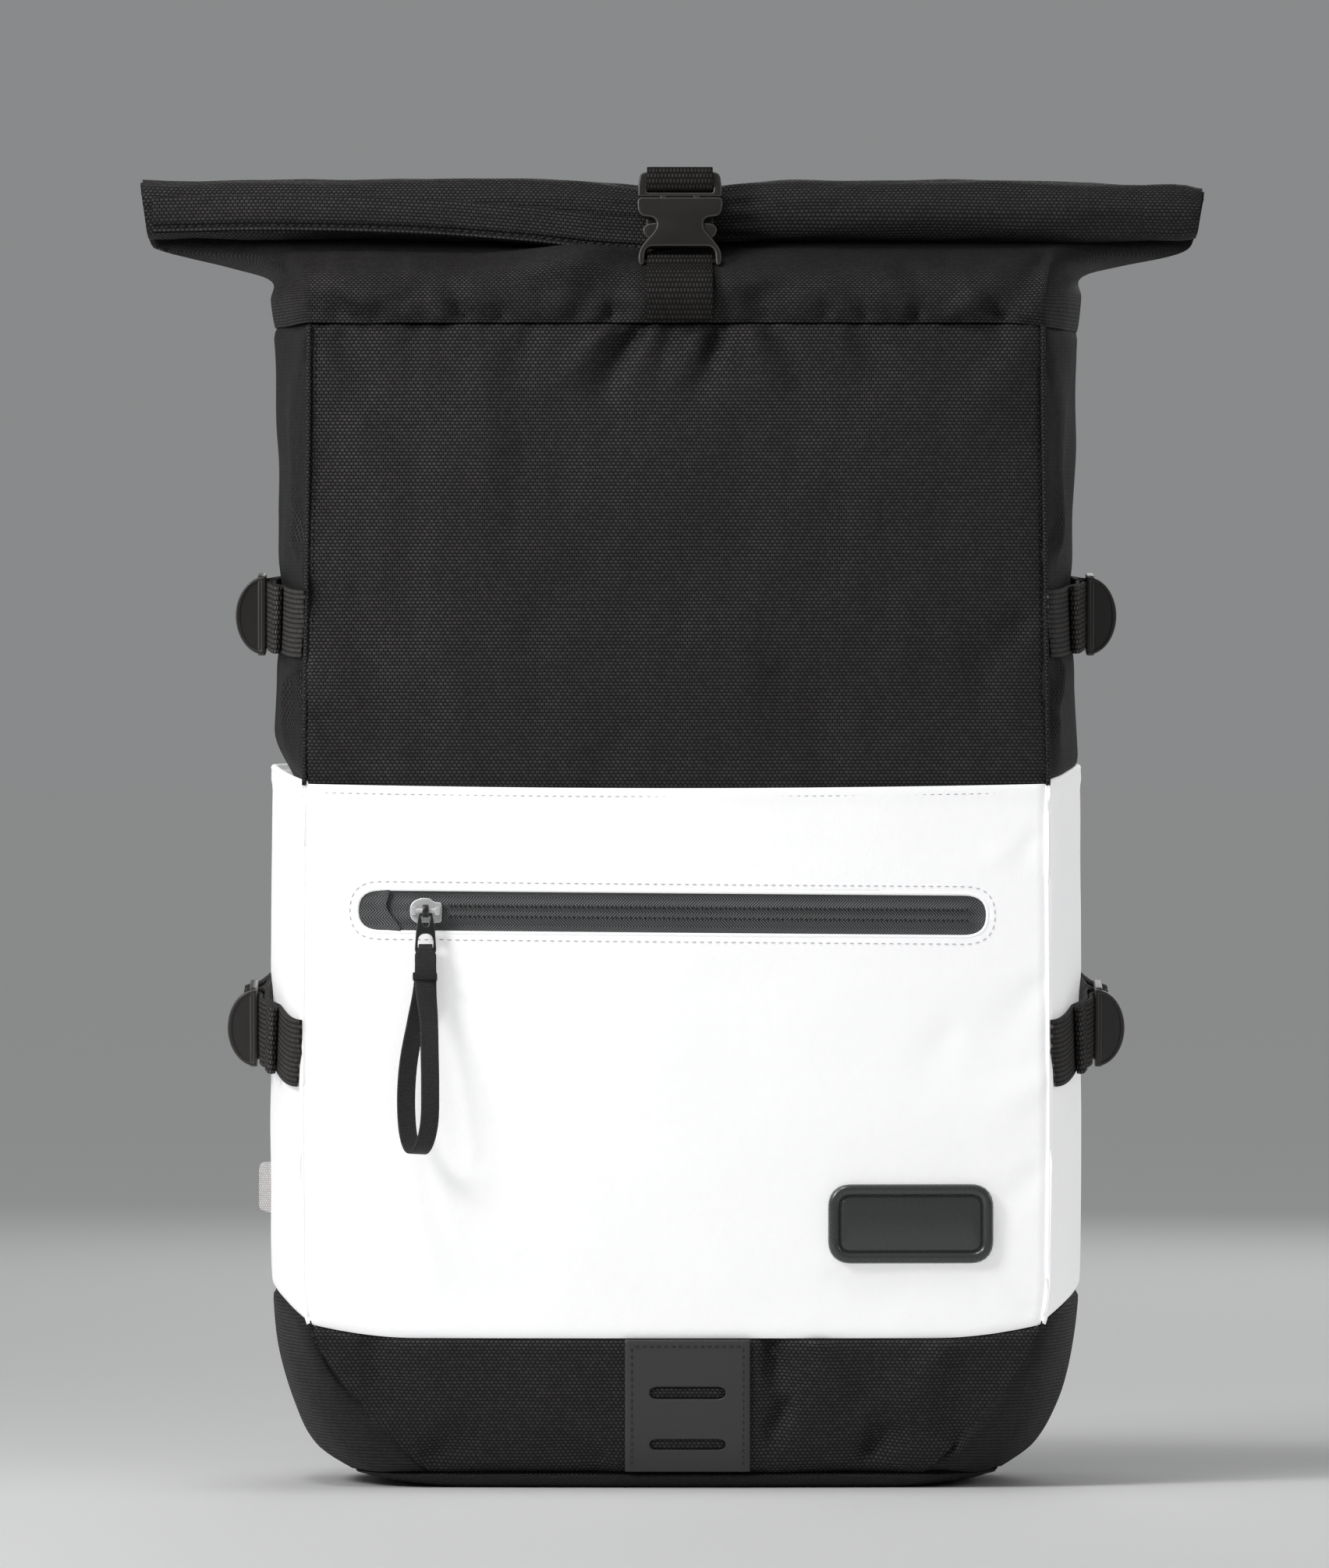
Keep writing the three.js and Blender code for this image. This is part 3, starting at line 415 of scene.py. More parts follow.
def makeHerringboneGroup():
    tree, given, out = newGroup("herringbone", ["Vector", "Pitch", "Column"], ["Height"])
    x, y, z = split(tree, given["Vector"])
    zigzag = mathNode(tree, "PINGPONG", y, given["Column"])
    ribs = mathNode(tree, "DIVIDE", mathNode(tree, "ADD", x, zigzag), given["Pitch"])
    wire(tree, out["Height"], domed(tree, ribs))
    return tree


def makeCloudGroup():  # broad uneven shade, and fine grain
    tree, given, out = newGroup("cloudAndGrain", ["Vector", "Broad", "Fine"], ["Shade", "Grain"])
    for label, scale, detail in (("Shade", "Broad", 3), ("Grain", "Fine", 4)):
        cloud = tree.nodes.new("ShaderNodeTexNoise")
        wire(tree, cloud.inputs["Vector"], given["Vector"])
        wire(tree, cloud.inputs["Scale"], given[scale])
        cloud.inputs["Detail"].default_value = detail
        wire(tree, out[label], cloud.outputs["Fac"])
    return tree


def makeEdgeHighlightGroup():  # painted highlight on the edges, on the bevels of the slabs
    tree, given, out = newGroup("paintedEdgeHighlight", ["Wear"], ["Mask"])
    rim = tree.nodes.new("ShaderNodeAttribute")
    rim.attribute_name = "rim"
    wire(tree, out["Mask"], mathNode(tree, "MULTIPLY", rim.outputs["Fac"], given["Wear"]))
    return tree


def startFinish(name, **plain):
    finishes[name] = bpy.data.materials.new(name)
    finishes[name].use_nodes = True
    tree = finishes[name].node_tree
    shader = tree.nodes["Principled BSDF"]
    for label, value in plain.items():
        shader.inputs[label.replace("_", " ")].default_value = value
    return tree, shader


def useGroup(tree, group, **values):
    made = tree.nodes.new("ShaderNodeGroup")
    made.node_tree = groups[group]
    for label, value in values.items():
        wire(tree, made.inputs[label], value)
    return made.outputs


def threadsOf(tree):
    made = tree.nodes.new("ShaderNodeUVMap")
    made.uv_map = "cloth"
    return made.outputs["UV"]


def placeOf(tree, onFace=False):
    made = tree.nodes.new("ShaderNodeTexCoord").outputs["Object"]
    if not onFace:
        return made
    x, y, z = split(tree, made)  # a pattern on a face that looks along Y
    return joined(tree, x, z)


def blendColors(tree, share, first, second):
    made = tree.nodes.new("ShaderNodeMix")
    made.data_type = "RGBA"
    wire(tree, made.inputs["Factor"], share)
    wire(tree, made.inputs[6], first)
    wire(tree, made.inputs[7], second)
    return made.outputs[2]


def ranged(tree, value, low, high):
    made = tree.nodes.new("ShaderNodeMapRange")
    wire(tree, made.inputs["Value"], value)
    wire(tree, made.inputs["To Min"], low)
    wire(tree, made.inputs["To Max"], high)
    return made.outputs["Result"]


def bumped(tree, shader, height, depth):
    made = tree.nodes.new("ShaderNodeBump")
    made.inputs["Distance"].default_value = depth * mm
    wire(tree, made.inputs["Height"], height)
    wire(tree, shader.inputs["Normal"], made.outputs["Normal"])


def wovenFinish(name, gapColor, crownHighlightColor, pitch, row, depth, rough=(0.75, 0.5), onFace=False, **plain):
    tree, shader = startFinish(name, **plain)
    vector = placeOf(tree, True) if onFace else threadsOf(tree)
    weave = useGroup(tree, "weave", Vector=vector, Pitch=pitch * mm, Row=row * mm)
    cloud = useGroup(tree, "cloud", Vector=placeOf(tree), Broad=9.0, Fine=420.0)
    # Each thread is painted lighter towards its crown than in the gaps: a painted highlight on the thread
    # tops, varied at random from thread to thread and in broad clouds.
    crownHighlightAndTone = mathNode(tree, "MULTIPLY", weave["Height"], ranged(tree, weave["Thread"], 0.8, 1.0))
    shade = ranged(tree, cloud["Shade"], 0.6, 1.15)
    crownHighlightAndTone = mathNode(tree, "MULTIPLY", mathNode(tree, "POWER", crownHighlightAndTone, 2.2), shade)
    wire(tree, shader.inputs["Base Color"], blendColors(tree, crownHighlightAndTone, gapColor, crownHighlightColor))
    wire(tree, shader.inputs["Roughness"], ranged(tree, crownHighlightAndTone, *rough))
    bumped(tree, shader, weave["Height"], depth)


def mouldedFinish(name, color, lighterToneAndEdgeHighlight, rough, grainDepth, fine=900.0, **plain):
    tree, shader = startFinish(name, **plain)
    cloud = useGroup(tree, "cloud", Vector=placeOf(tree), Broad=40.0, Fine=fine)
    edge = useGroup(tree, "edge", Wear=0.6)
    # The bevel faces take the lighter colour, a painted highlight along the edges; the broad cloud adds
    # random lighter tone.
    share = mathNode(tree, "ADD", edge["Mask"], mathNode(tree, "MULTIPLY", cloud["Shade"], 0.16))
    wire(tree, shader.inputs["Base Color"], blendColors(tree, share, color, lighterToneAndEdgeHighlight))
    wire(tree, shader.inputs["Roughness"], ranged(tree, cloud["Grain"], rough - 0.08, rough + 0.08))
    bumped(tree, shader, cloud["Grain"], grainDepth)


def makeFinishes():
    groups.update(weave=makeWeaveGroup(), bone=makeHerringboneGroup())
    groups.update(cloud=makeCloudGroup(), edge=makeEdgeHighlightGroup())
    dark = (0.003, 0.0027, 0.0027, 1)
    soft = {"Specular_IOR_Level": 0.25}
    # The second colour of each woven finish is the painted highlight on its thread crowns.
    wovenFinish("nylon", dark, (0.062, 0.0568, 0.0558, 1), 1.7, 1.25, 0.35, (0.7, 0.42), **soft)
    wovenFinish("ribbed", dark, (0.05, 0.046, 0.045, 1), 2.6, 0.95, 0.3, (0.7, 0.45), **soft)
    wovenFinish("padCloth", dark, (0.044, 0.041, 0.04, 1), 1.7, 1.25, 0.3, (0.7, 0.45), onFace=True, **soft)
    wovenFinish("webbing", (0.0015, 0.0014, 0.0013, 1), (0.04, 0.035, 0.031, 1), 1.3, 2.0, 0.5, **soft)
    wovenFinish("sideWebbing", (0.006, 0.0055, 0.005, 1), (0.13, 0.118, 0.112, 1), 1.0, 1.8, 0.6, **soft)
    wovenFinish("tape", (0.008, 0.0075, 0.008, 1), (0.045, 0.042, 0.045, 1), 0.9, 0.7, 0.15)
    wovenFinish("tagTape", (0.42, 0.41, 0.4, 1), (0.82, 0.81, 0.8, 1), 0.9, 0.8, 0.12)
    wovenFinish("thread", (0.012, 0.011, 0.011, 1), (0.06, 0.056, 0.056, 1), 0.6, 0.6, 0.05, onFace=True)
    wovenFinish("paleThread", (0.62, 0.62, 0.63, 1), (0.8, 0.8, 0.81, 1), 0.6, 0.6, 0.05, onFace=True)
    # The second colour of each moulded finish is its random lighter tone and its painted edge highlight.
    mouldedFinish("plastic", (0.0105, 0.009, 0.008, 1), (0.085, 0.076, 0.07, 1), 0.34, 0.012)
    mouldedFinish("patch", (0.045, 0.042, 0.0425, 1), (0.08, 0.075, 0.076, 1), 0.5, 0.05, 700.0)
    coat = {"Coat_Weight": 0.6, "Coat_Roughness": 0.22}
    mouldedFinish("rubber", (0.034, 0.037, 0.036, 1), (0.075, 0.078, 0.077, 1), 0.28, 0.03, 1400.0, **coat)
    mouldedFinish("nickel", (0.66, 0.66, 0.66, 1), (0.9, 0.9, 0.9, 1), 0.3, 0.003, Metallic=0.35)
    mouldedFinish("darkMetal", (0.045, 0.046, 0.048, 1), (0.2, 0.2, 0.2, 1), 0.36, 0.01, Metallic=0.9)

    tree, shader = startFinish("zipCloth")
    bone = useGroup(tree, "bone", Vector=threadsOf(tree), Pitch=1.1 * mm, Column=2.6 * mm)
    cloud = useGroup(tree, "cloud", Vector=placeOf(tree), Broad=30.0, Fine=500.0)
    ribs = mathNode(tree, "POWER", bone["Height"], 2.5)
    share = mathNode(tree, "MULTIPLY", ribs, ranged(tree, cloud["Shade"], 0.6, 1.1))
    gap, thread = (0.016, 0.0165, 0.017, 1), (0.18, 0.186, 0.192, 1)
    wire(tree, shader.inputs["Base Color"], blendColors(tree, share, gap, thread))
    wire(tree, shader.inputs["Roughness"], ranged(tree, bone["Height"], 0.75, 0.55))
    bumped(tree, shader, bone["Height"], 0.2)

    # The pale cloth is given a steady emission: a painted glow, brighter than the lamps alone make it.
    whiteAndGlow = (0.9, 0.9, 0.905, 1)
    tree, shader = startFinish("glowingPaleCloth", Emission_Color=whiteAndGlow, Emission_Strength=0.4, Sheen_Weight=0.05)
    weave = useGroup(tree, "weave", Vector=threadsOf(tree), Pitch=0.8 * mm, Row=0.6 * mm)
    cloud = useGroup(tree, "cloud", Vector=placeOf(tree), Broad=14.0, Fine=160.0)
    # Its colour is lighter in random clouds and a little lighter on the thread crowns, a painted highlight.
    share = mathNode(tree, "MULTIPLY", cloud["Shade"], ranged(tree, weave["Height"], 0.8, 1.0))
    wire(tree, shader.inputs["Base Color"], blendColors(tree, share, (0.84, 0.84, 0.85, 1), whiteAndGlow))
    wire(tree, shader.inputs["Roughness"], ranged(tree, cloud["Grain"], 0.42, 0.58))
    height = mathNode(tree, "ADD", mathNode(tree, "MULTIPLY", weave["Height"], 0.12), cloud["Grain"])
    bumped(tree, shader, height, 0.18)


# The bag's outer skin, level by level
skinColumns = ("z", "halfWidth", "seamX", "frontY", "bow", "wideY", "backX", "backY", "power")
skinRows = [
    (5.2, 121, 92, -61, 2, -8, 104, 54, 2.2),
    (14, 133.5, 101, -65, 2.5, -6, 118, 56, 2.1),
    (28, 141.5, 114, -68, 3, -4, 128, 57.5, 2),
    (46, 147, 129, -69.6, 4, 0, 134, 58, 1.75),
    (66, 150, 136.4, -69.6, 5, 2, 138, 58, 1.5),
    (92, 151, 137.6, -69.6, 6, 4, 140, 58, 1.4),
    (165, 151.2, 137.8, -69, 7, 4, 141, 58, 1.35),
    (255, 150.6, 137.2, -65, 7, 4, 141, 58, 1.35),
    (330, 148, 136.4, -61, 6, 3, 140, 58, 1.35),
    (400, 149, 135.6, -56, 4, 2, 140, 57, 1.35),
    (430, 149.5, 135.6, -53, 2, 0, 140, 56, 1.35),
]
bagShape = {
    "top": 430, "base": 5.2, "cloth": 1.2, "bootTop": 55.6, "bootRise": 4.9, "bootClimb": 11,
    "mouth": 258.5, "mouthRise": 7, "frontRise": 1.5, "pocketRoom": 8.5, "sideLong": 150,
}
seamT, wideT = 0.45, 0.75  # t runs round the bag: 0 at the front's middle, 1 at the back corner


def columnAt(rows, column, at):  # a smooth curve through one column, the first column being the height
    i = 0
    while i < len(rows) - 2 and rows[i + 1][0] <= at:
        i += 1

    def slope(j):
        low, high = rows[max(j - 1, 0)], rows[min(j + 1, len(rows) - 1)]
        return (high[column] - low[column]) / (high[0] - low[0])

    step = rows[i + 1][0] - rows[i][0]
    t = (at - rows[i][0]) / step
    ends = rows[i][column] * (2 * t ** 3 - 3 * t ** 2 + 1) + rows[i + 1][column] * (3 * t ** 2 - 2 * t ** 3)
    return ends + step * (slope(i) * (t ** 3 - 2 * t ** 2 + t) + slope(i + 1) * (t ** 3 - t ** 2))


levelCount = 436  # one for each millimetre up to the neck
skinLevels = [[columnAt(skinRows, c, z) for c in range(1, 9)] for z in range(levelCount)]


def levelAt(z):
    i = min(max(int(z), 0), levelCount - 2)
    share = z - i
    level = {"z": z}
    for key, low, high in zip(skinColumns[1:], skinLevels[i], skinLevels[i + 1]):
        level[key] = low + (high - low) * share
    return level


def frontY(x, level):
    return level["frontY"] - level["bow"] * (1 - (x / level["seamX"]) ** 2)


def loopPoint(t, level):
    side = -1 if t < 0 else 1
    s = abs(t)
    if s <= seamT:
        x = t / seamT * level["seamX"]
        return Vector((x, frontY(x, level), level["z"]))
    bend = 2 / level["power"]
    if s <= wideT:
        angle = (s - seamT) / (wideT - seamT) * math.pi / 2
        out, keep = math.sin(angle) ** bend, max(math.cos(angle), 0) ** bend
        x = mix(level["seamX"], level["halfWidth"], out)
        return Vector((side * x, mix(level["wideY"], level["frontY"], keep), level["z"]))
    angle = (s - wideT) / (1 - wideT) * math.pi / 2
    keep, out = max(math.cos(angle), 0) ** bend, math.sin(angle) ** bend
    x = mix(level["backX"], level["halfWidth"], keep)
    return Vector((side * x, mix(level["wideY"], level["backY"], out), level["z"]))


def skinNormal(t, z):
    across = loopPoint(t + 0.004, levelAt(z)) - loopPoint(t - 0.004, levelAt(z))
    up = loopPoint(t, levelAt(z + 1)) - loopPoint(t, levelAt(z - 1))
    return across.cross(up).normalized()


def sideX(y, z):
    level = levelAt(z)
    ahead = y < level["wideY"]
    reach = (level["frontY"] if ahead else level["backY"]) - level["wideY"]
    share = min(abs((y - level["wideY"]) / reach), 1)
    corner = level["seamX"] if ahead else level["backX"]
    return mix(corner, level["halfWidth"], (1 - share ** level["power"]) ** (1 / level["power"]))


def skinY(x, z):
    return frontY(x, levelAt(z))


def bootTopAt(t):  # curves up towards the front seam, and on round the corner
    start, ease = 0.32, 1.3
    curve = min(max(abs(t) - start, 0) / (seamT - start), 1) ** 2
    turn = min(max(abs(t) - seamT, 0) / (wideT - seamT), 1)
    climb = bagShape["bootClimb"] * math.sin(math.pi / 2 * turn) ** ease
    return bagShape["bootTop"] + bagShape["bootRise"] * curve + climb


def mouthAt(t):
    s = abs(t)
    front = bagShape["frontRise"] * min(s / seamT, 1) ** 2
    beside = (bagShape["mouthRise"] - bagShape["frontRise"]) * smooth(seamT, wideT, s)
    return bagShape["mouth"] + front + beside


def pastMouth(t, side, z):  # 0 behind the side pocket, 1 above its mouth
    rim = mouthAt(t)
    return smooth(rim - 11, rim + (15 if side < 0 else 4), z)


def sideRun(t):  # cloth length from the front seam to this place on the side
    return bagShape["sideLong"] * (abs(t) - seamT) / (1 - seamT)


def creased(x, z, folds):  # depth at a place of folds given by two ends, half width and depth
    depth = 0
    for x0, z0, x1, z1, wide, deep in folds:
        runX, runZ = x1 - x0, z1 - z0
        along = ((x - x0) * runX + (z - z0) * runZ) / (runX * runX + runZ * runZ)
        held = min(max(along, 0), 1)
        off = math.hypot(x - x0 - held * runX, z - z0 - held * runZ) / (wide * (0.55 + 0.75 * held))
        if off < 3:
            depth += deep * math.exp(-off * off) * (1 - held * held)
    return depth


def pucker(x, away):  # small gathers where the neck is sewn to the body, fading with the distance
    wave = math.sin(2 * math.pi * (x + 5 * ripple(x, 0, 30, 20)) / 8.6)
    return wave * (0.6 + 0.9 * ripple(x, 3, 26, 21)) * math.exp(-max(away, 0) / 5.5)


def ripple(x, z, scale, seed):
    return noise.noise(Vector((x / scale, z / scale, seed)))


# Body panels
frontPanel = {
    "folds": [  # from the seam downwards: x, z, x, z, half width, depth (minus stands proud)
        (-13, 430, -31, 400, 5, 3.4), (-24, 430, -47, 404, 5, -1.6), (-2, 430, -8, 404, 4, 1.3),
        (9, 430, 7, 408, 4, -1.0), (17, 430, 6, 398, 5, 2.8), (25, 430, 45, 408, 6, -1.5),
        (34, 430, 52, 398, 6, 1.6), (-52, 430, -66, 402, 7, 1.0), (66, 430, 80, 404, 7, 1.2),
        (-124, 424, -106, 396, 8, 1.2), (-118, 392, -92, 352, 12, -1.3), (-134, 330, -98, 300, 9, 1.5),
        (-134, 300, -92, 268, 10, -1.4), (-130, 284, -108, 262, 7, 1.2), (128, 320, 98, 286, 10, 1.0),
        (126, 420, 104, 380, 10, -1.0), (-70, 410, -84, 330, 16, -1.0), (40, 300, 70, 266, 14, 0.8),
    ],
    "tuck": 1.5,
    "under": 7,  # runs on behind the pale panel's hem
    "edge": 0.3,
}


def frontSkin(w, z, edge):
    level = levelAt(z)
    x = w * (level["seamX"] - edge)
    return Vector((x, frontY(x, level), z))


def buildFrontPanel():
    def place(u, v):
        w = 2 * u - 1
        top, low = bagShape["top"], mouthAt(w * seamT)
        z = mix(low - frontPanel["under"], top, v)
        point = frontSkin(w, z, frontPanel["edge"])
        sewn = mix(0.4, 1, smooth(0, 4, top - z))  # calmer where the neck is sewn on
        point.y += 1.6 * sewn * creased(point.x, z, frontPanel["folds"]) + 0.35 * ripple(point.x, z, 12, 2)
        point.y += 0.5 * pucker(point.x + 4, top - z)
        point.y += 1.7 * ripple(point.x, z, 52, 1) + 0.9 * ripple(1.6 * point.x, 0.7 * z, 24, 14)
        point.y += frontPanel["tuck"] * hump(z, top, 1.5)
        point.y += 1.7 * (1 - smooth(low - 1, low + 3, z))
        point.y += 0.5 * smooth(0.985, 1, abs(w))
        return point, (point.x, z)

    piece = clothSheet("body_front", place, 140, 92, 1.2)
    dress(piece, "nylon", replaces=["front_panel"])


gussetFolds = {  # run of the cloth from the front seam, height, and again, half width, depth
    "left": [
        (4, 344, 30, 366, 5, 1.6), (8, 338, 12, 300, 6, 1.4), (20, 300, 6, 268, 6, 1.8),
        (34, 296, 40, 268, 7, -1.4), (26, 350, 34, 420, 9, -1.2), (4, 424, 22, 408, 5, 1.2),
    ],
    "right": [
        (4, 300, 30, 284, 4, 1.5), (6, 296, 18, 266, 6, 1.3), (30, 304, 16, 272, 7, -1.3),
        (6, 424, 26, 410, 5, 1.6), (30, 350, 38, 416, 9, -1.0), (8, 344, 30, 356, 5, 1.0),
    ],
}


def buildGusset(sideName, side):
    folds = gussetFolds[sideName]
    mouth, bootTop, top = bagShape["mouth"], bagShape["bootTop"], bagShape["top"]
    full = bagShape["pocketRoom"] + bagShape["cloth"]

    def place(u, v):
        t = mix(seamT + 0.002, 1, u)
        z = mix(bootTopAt(t) + 0.5, top, v)
        level = levelAt(z)
        above = pastMouth(t, side, z)
        room = mix(2.4, full, smooth(bootTop + 6, bootTop + 60, z))
        under = 1 - smooth(mouth - 3, mouth + 8, z)
        level["halfWidth"] -= mix(room, 0, above)
        level["seamX"] -= 2.8 * under
        level["frontY"] += 3.2 * under
        level["backX"] -= mix(2.4, 0, above)
        level["backY"] -= mix(1.2, 0, above)
        point = loopPoint(side * t, level)
        run = sideRun(t)
        held = max(math.exp(-((z - strap["z"] - strap["rise"] * run) / 15) ** 4) for strap in sideStraps)
        loose = 2.4 * creased(run, z, folds) + 1.3 * ripple(run + 200 * side, z, 30, 3)
        depth = (1 - held) * loose + held * smooth(0, 8, run)
        depth += 1.8 * hump(z, top, 2.2) + 0.4 * hump(run, 0, 1.6)
        return point - skinNormal(side * t, z) * depth, (z, run)

    piece = clothSheet("gusset_cloth_" + sideName, place, 64, 150, 1.2, flip=side < 0)
    dress(piece, "ribbed", replaces=["gusset_" + sideName])


paleFront = {
    "folds": [
        (134, 186, 112, 160, 8, 0.9), (134, 150, 104, 132, 9, -0.8), (120, 232, 100, 196, 10, -0.8),
        (132, 116, 110, 92, 8, 0.8), (100, 168, 84, 140, 9, 0.7), (132, 240, 118, 214, 6, 0.7),
        (60, 78, 84, 64, 8, 0.8), (116, 78, 128, 64, 6, -0.8), (-128, 240, -112, 214, 8, 0.5),
        (-130, 90, -110, 70, 9, 0.5),
    ],
    "hem": 5.5,
    "hemStitch": 3.1,
    "edge": 0.7,
}
zipper = {"x": -1.4, "z": 212.5, "halfLong": 116.4, "halfHigh": 8, "corner": 6, "slant": -0.0085}


def zipZ(x):
    return zipper["z"] + zipper["slant"] * (x - zipper["x"])


def zipTurn():
    middle = Matrix.Translation((zipper["x"], 0, zipper["z"]))
    return middle @ Matrix.Rotation(-zipper["slant"], 4, "Y")


def zipOutline(grown=0, share=1.5):  # of the window, or of a line that runs round it
    return roundBox(zipper["halfLong"] + grown, zipper["halfHigh"] + grown, zipper["corner"] * share)


def buildPaleFront():
    def place(u, v):
        w = 2 * u - 1
        low, high = bootTopAt(w * seamT), mouthAt(w * seamT)
        z = mix(low, high, v)
        point = frontSkin(w, z, paleFront["edge"])
        calm = smooth(14, 26, abs(z - zipZ(point.x)))
        hemZ = high - paleFront["hem"]
        point.y += calm * (creased(point.x, z, paleFront["folds"]) + 0.5 * ripple(point.x, z, 40, 4))
        point.y -= 0.5 * smooth(hemZ - 0.8, hemZ + 0.8, z)
        point.y += 0.5 * hump(z, high - paleFront["hemStitch"], 0.7)
        point.y += 1.3 * hump(z, low, 1.4) + 1.2 * smooth(0.985, 1, abs(w))
        return point, (point.x, z)

    piece = clothSheet("pocket_front_cloth", place, 136, 104, 1.2)
    bm = bmesh.new()
    addSlab(bm, [zipOutline()], *cutDepths, 0, steps=8)
    cutWith(piece, placed("window", bm, zipTurn()))
    dress(piece, "glowingPaleCloth", replaces=["pocket_front"])
    ring = []
    for corner in evenRing(softLoop(zipOutline(), 8), 4):
        spot = zipTurn() @ Vector((corner.x, 0, corner.y))
        ring.append((spot.x, skinY(spot.x, spot.z) + 0.45, spot.z))
    rim = tube("zip_window_rim", ring, 0.75, 2.0, 8, ring=True, up=(0, 1, 0))
    dress(rim, "glowingPaleCloth")


def buildPaleSide(sideName, side):
    folds = [  # as on the gusset
        (6, 250, 14, 190, 7, 1.0), (20, 262, 30, 200, 8, -0.9),
        (10, 150, 30, 110, 9, 0.9), (4, 120, 16, 80, 7, -0.8),
    ]

    def place(u, v):
        t = mix(seamT + 0.002, 1, u)
        low, high = bootTopAt(t) + 0.4, mouthAt(t)
        z = mix(low, high, v)
        run = sideRun(t)
        depth = creased(run, z, folds) + 0.5 * ripple(run + 300 * side, z, 34, 5)
        depth += 1.2 * hump(z, low, 1.4) + hump(run, 0, 1.6)
        depth -= 0.6 * smooth(high - 7, high - 5.5, z)
        lower = sideStraps[1]
        pressed = math.exp(-((z - lower["z"] - lower["rise"] * run) / 13) ** 4)
        depth += pressed * smooth(0, 8, run)
        return loopPoint(side * t, levelAt(z)) - skinNormal(side * t, z) * depth, (run, z)

    piece = clothSheet("pocket_side_cloth_" + sideName, place, 60, 90, 1.3, soft=0.4, flip=side < 0)
    dress(piece, "glowingPaleCloth", replaces=["pocket_side_" + sideName])
    rim = []
    for i in range(31):
        t = side * mix(seamT + 0.006, 0.995, i / 30)
        z = mouthAt(t)
        rim.append(loopPoint(t, levelAt(z)) - skinNormal(t, z) * 0.5)
    dress(tube("pocket_rim_" + sideName, rim, 1.35, 2.5, 10), "glowingPaleCloth")


bootShape = {
    "folds": [
        (34, 55, 40, 30, 6, 2.6), (40, 30, 30, 12, 6, 2.0), (52, 54, 66, 34, 8, -1.6),
        (72, 14, 84, 26, 7, 2.2), (98, 50, 84, 26, 9, -1.2), (-112, 52, -104, 26, 9, 1.2),
        (-90, 12, -70, 22, 8, 1.4), (110, 14, 96, 30, 6, 1.4), (-30, 10, -50, 20, 8, 1.0),
    ],
    "patchX": 4.2,
    "patchHalf": 23.2,
}


def buildBoot():
    def place(u, v):
        t = 2 * u - 1
        low, high = bagShape["base"] + 0.2, bootTopAt(t) - 0.2
        z = mix(low, high, v)
        point = loopPoint(t, levelAt(z))
        run = point.x if abs(t) < seamT else math.copysign(110 + sideRun(t), t)
        beside = abs(point.x - bootShape["patchX"]) - bootShape["patchHalf"]
        calm = smooth(1, 9, beside) if point.y < 0 else 1
        depth = calm * (1.9 * creased(run, z, bootShape["folds"]) + 1.0 * ripple(run, z, 26, 6))
        groove = mix(1.5, 0.3, smooth(92, 116, abs(point.x)))  # fades where the base runs out
        depth += 1.4 * hump(z, high, 1.3) + groove * hump(z, low, 1.6)
        return point - skinNormal(t, max(z, 7)) * depth, (run, z)

    piece = clothSheet("boot_cloth", place, 300, 34, 1.2)
    dress(piece, "nylon", replaces=["boot"])


def buildBase():
    rim = levelAt(bagShape["base"])
    middleY = (rim["frontY"] - rim["bow"] + rim["backY"]) / 2
    halfDeep = rim["backY"] - middleY
    rows = [  # inwards in X, inwards in Y, height
        (2.4, 1.8, 5.3), (1.2, 0.2, 5.0), (2.6, -0.2, 4.2), (6, 0.4, 3.0), (11, 1.5, 1.7),
        (17, 3.2, 0.7), (24, 6, 0.1), (36, 14, 0), (115, 55, 0),
    ]
    reach = 1.2  # past 1 the line runs straight across the back

    def place(u, v):
        s = mix(-reach, reach, u)
        if abs(s) <= 1:
            point = loopPoint(s, rim)
        else:
            x = rim["backX"] * (reach - abs(s)) / (reach - 1)
            point = Vector((math.copysign(x, s), rim["backY"], 0))
        i = min(int(v * (len(rows) - 1)), len(rows) - 2)
        share = v * (len(rows) - 1) - i
        insetX, insetY, z = (mix(a, b, share) for a, b in zip(rows[i], rows[i + 1]))
        point.x *= (rim["halfWidth"] - insetX) / rim["halfWidth"]
        point.y = middleY + (point.y - middleY) * (halfDeep - insetY) / halfDeep
        point.z = z
        return point, (point.x, point.y - 3 * z)

    piece = clothSheet("base_cloth", place, 220, (len(rows) - 1) * 3, 1.0, -1, 0, close=True, flip=True)
    dress(piece, "nylon", replaces=["base_panel"])


backPanel = {"puff": 2.6, "channels": (-46, 46), "pad": 6, "edge": 0.2}


def buildBack():
    def place(u, v):
        w = 2 * u - 1
        z = mix(bagShape["base"] + 0.4, bagShape["top"], v)
        level = levelAt(z)
        tucked = 2.4 * smooth(bootTopAt(1) - 2.6, bootTopAt(1) + 0.4, z) * (1 - pastMouth(1, -w, z))
        x = -w * (level["backX"] - backPanel["edge"] - tucked)
        rise = math.sin(math.pi * (z - bagShape["base"]) / (bagShape["top"] - bagShape["base"]))
        y = level["backY"] + backPanel["puff"] * (1 - w ** 8) * rise ** 0.3
        sunk = 1.6 * smooth(30, 60, z) * (1 - smooth(380, 400, z))
        y -= sum(sunk * hump(x, channel, 2.2) for channel in backPanel["channels"])
        y -= 1.6 * smooth(0.97, 1, abs(w)) + 0.6 * ripple(x, z, 45, 7)
        return Vector((x, y, z)), (x, z)

    piece = clothSheet("back_pad", place, 110, 120, backPanel["pad"], -1, 0.8)
    dress(piece, "nylon", replaces=["back_panel"])


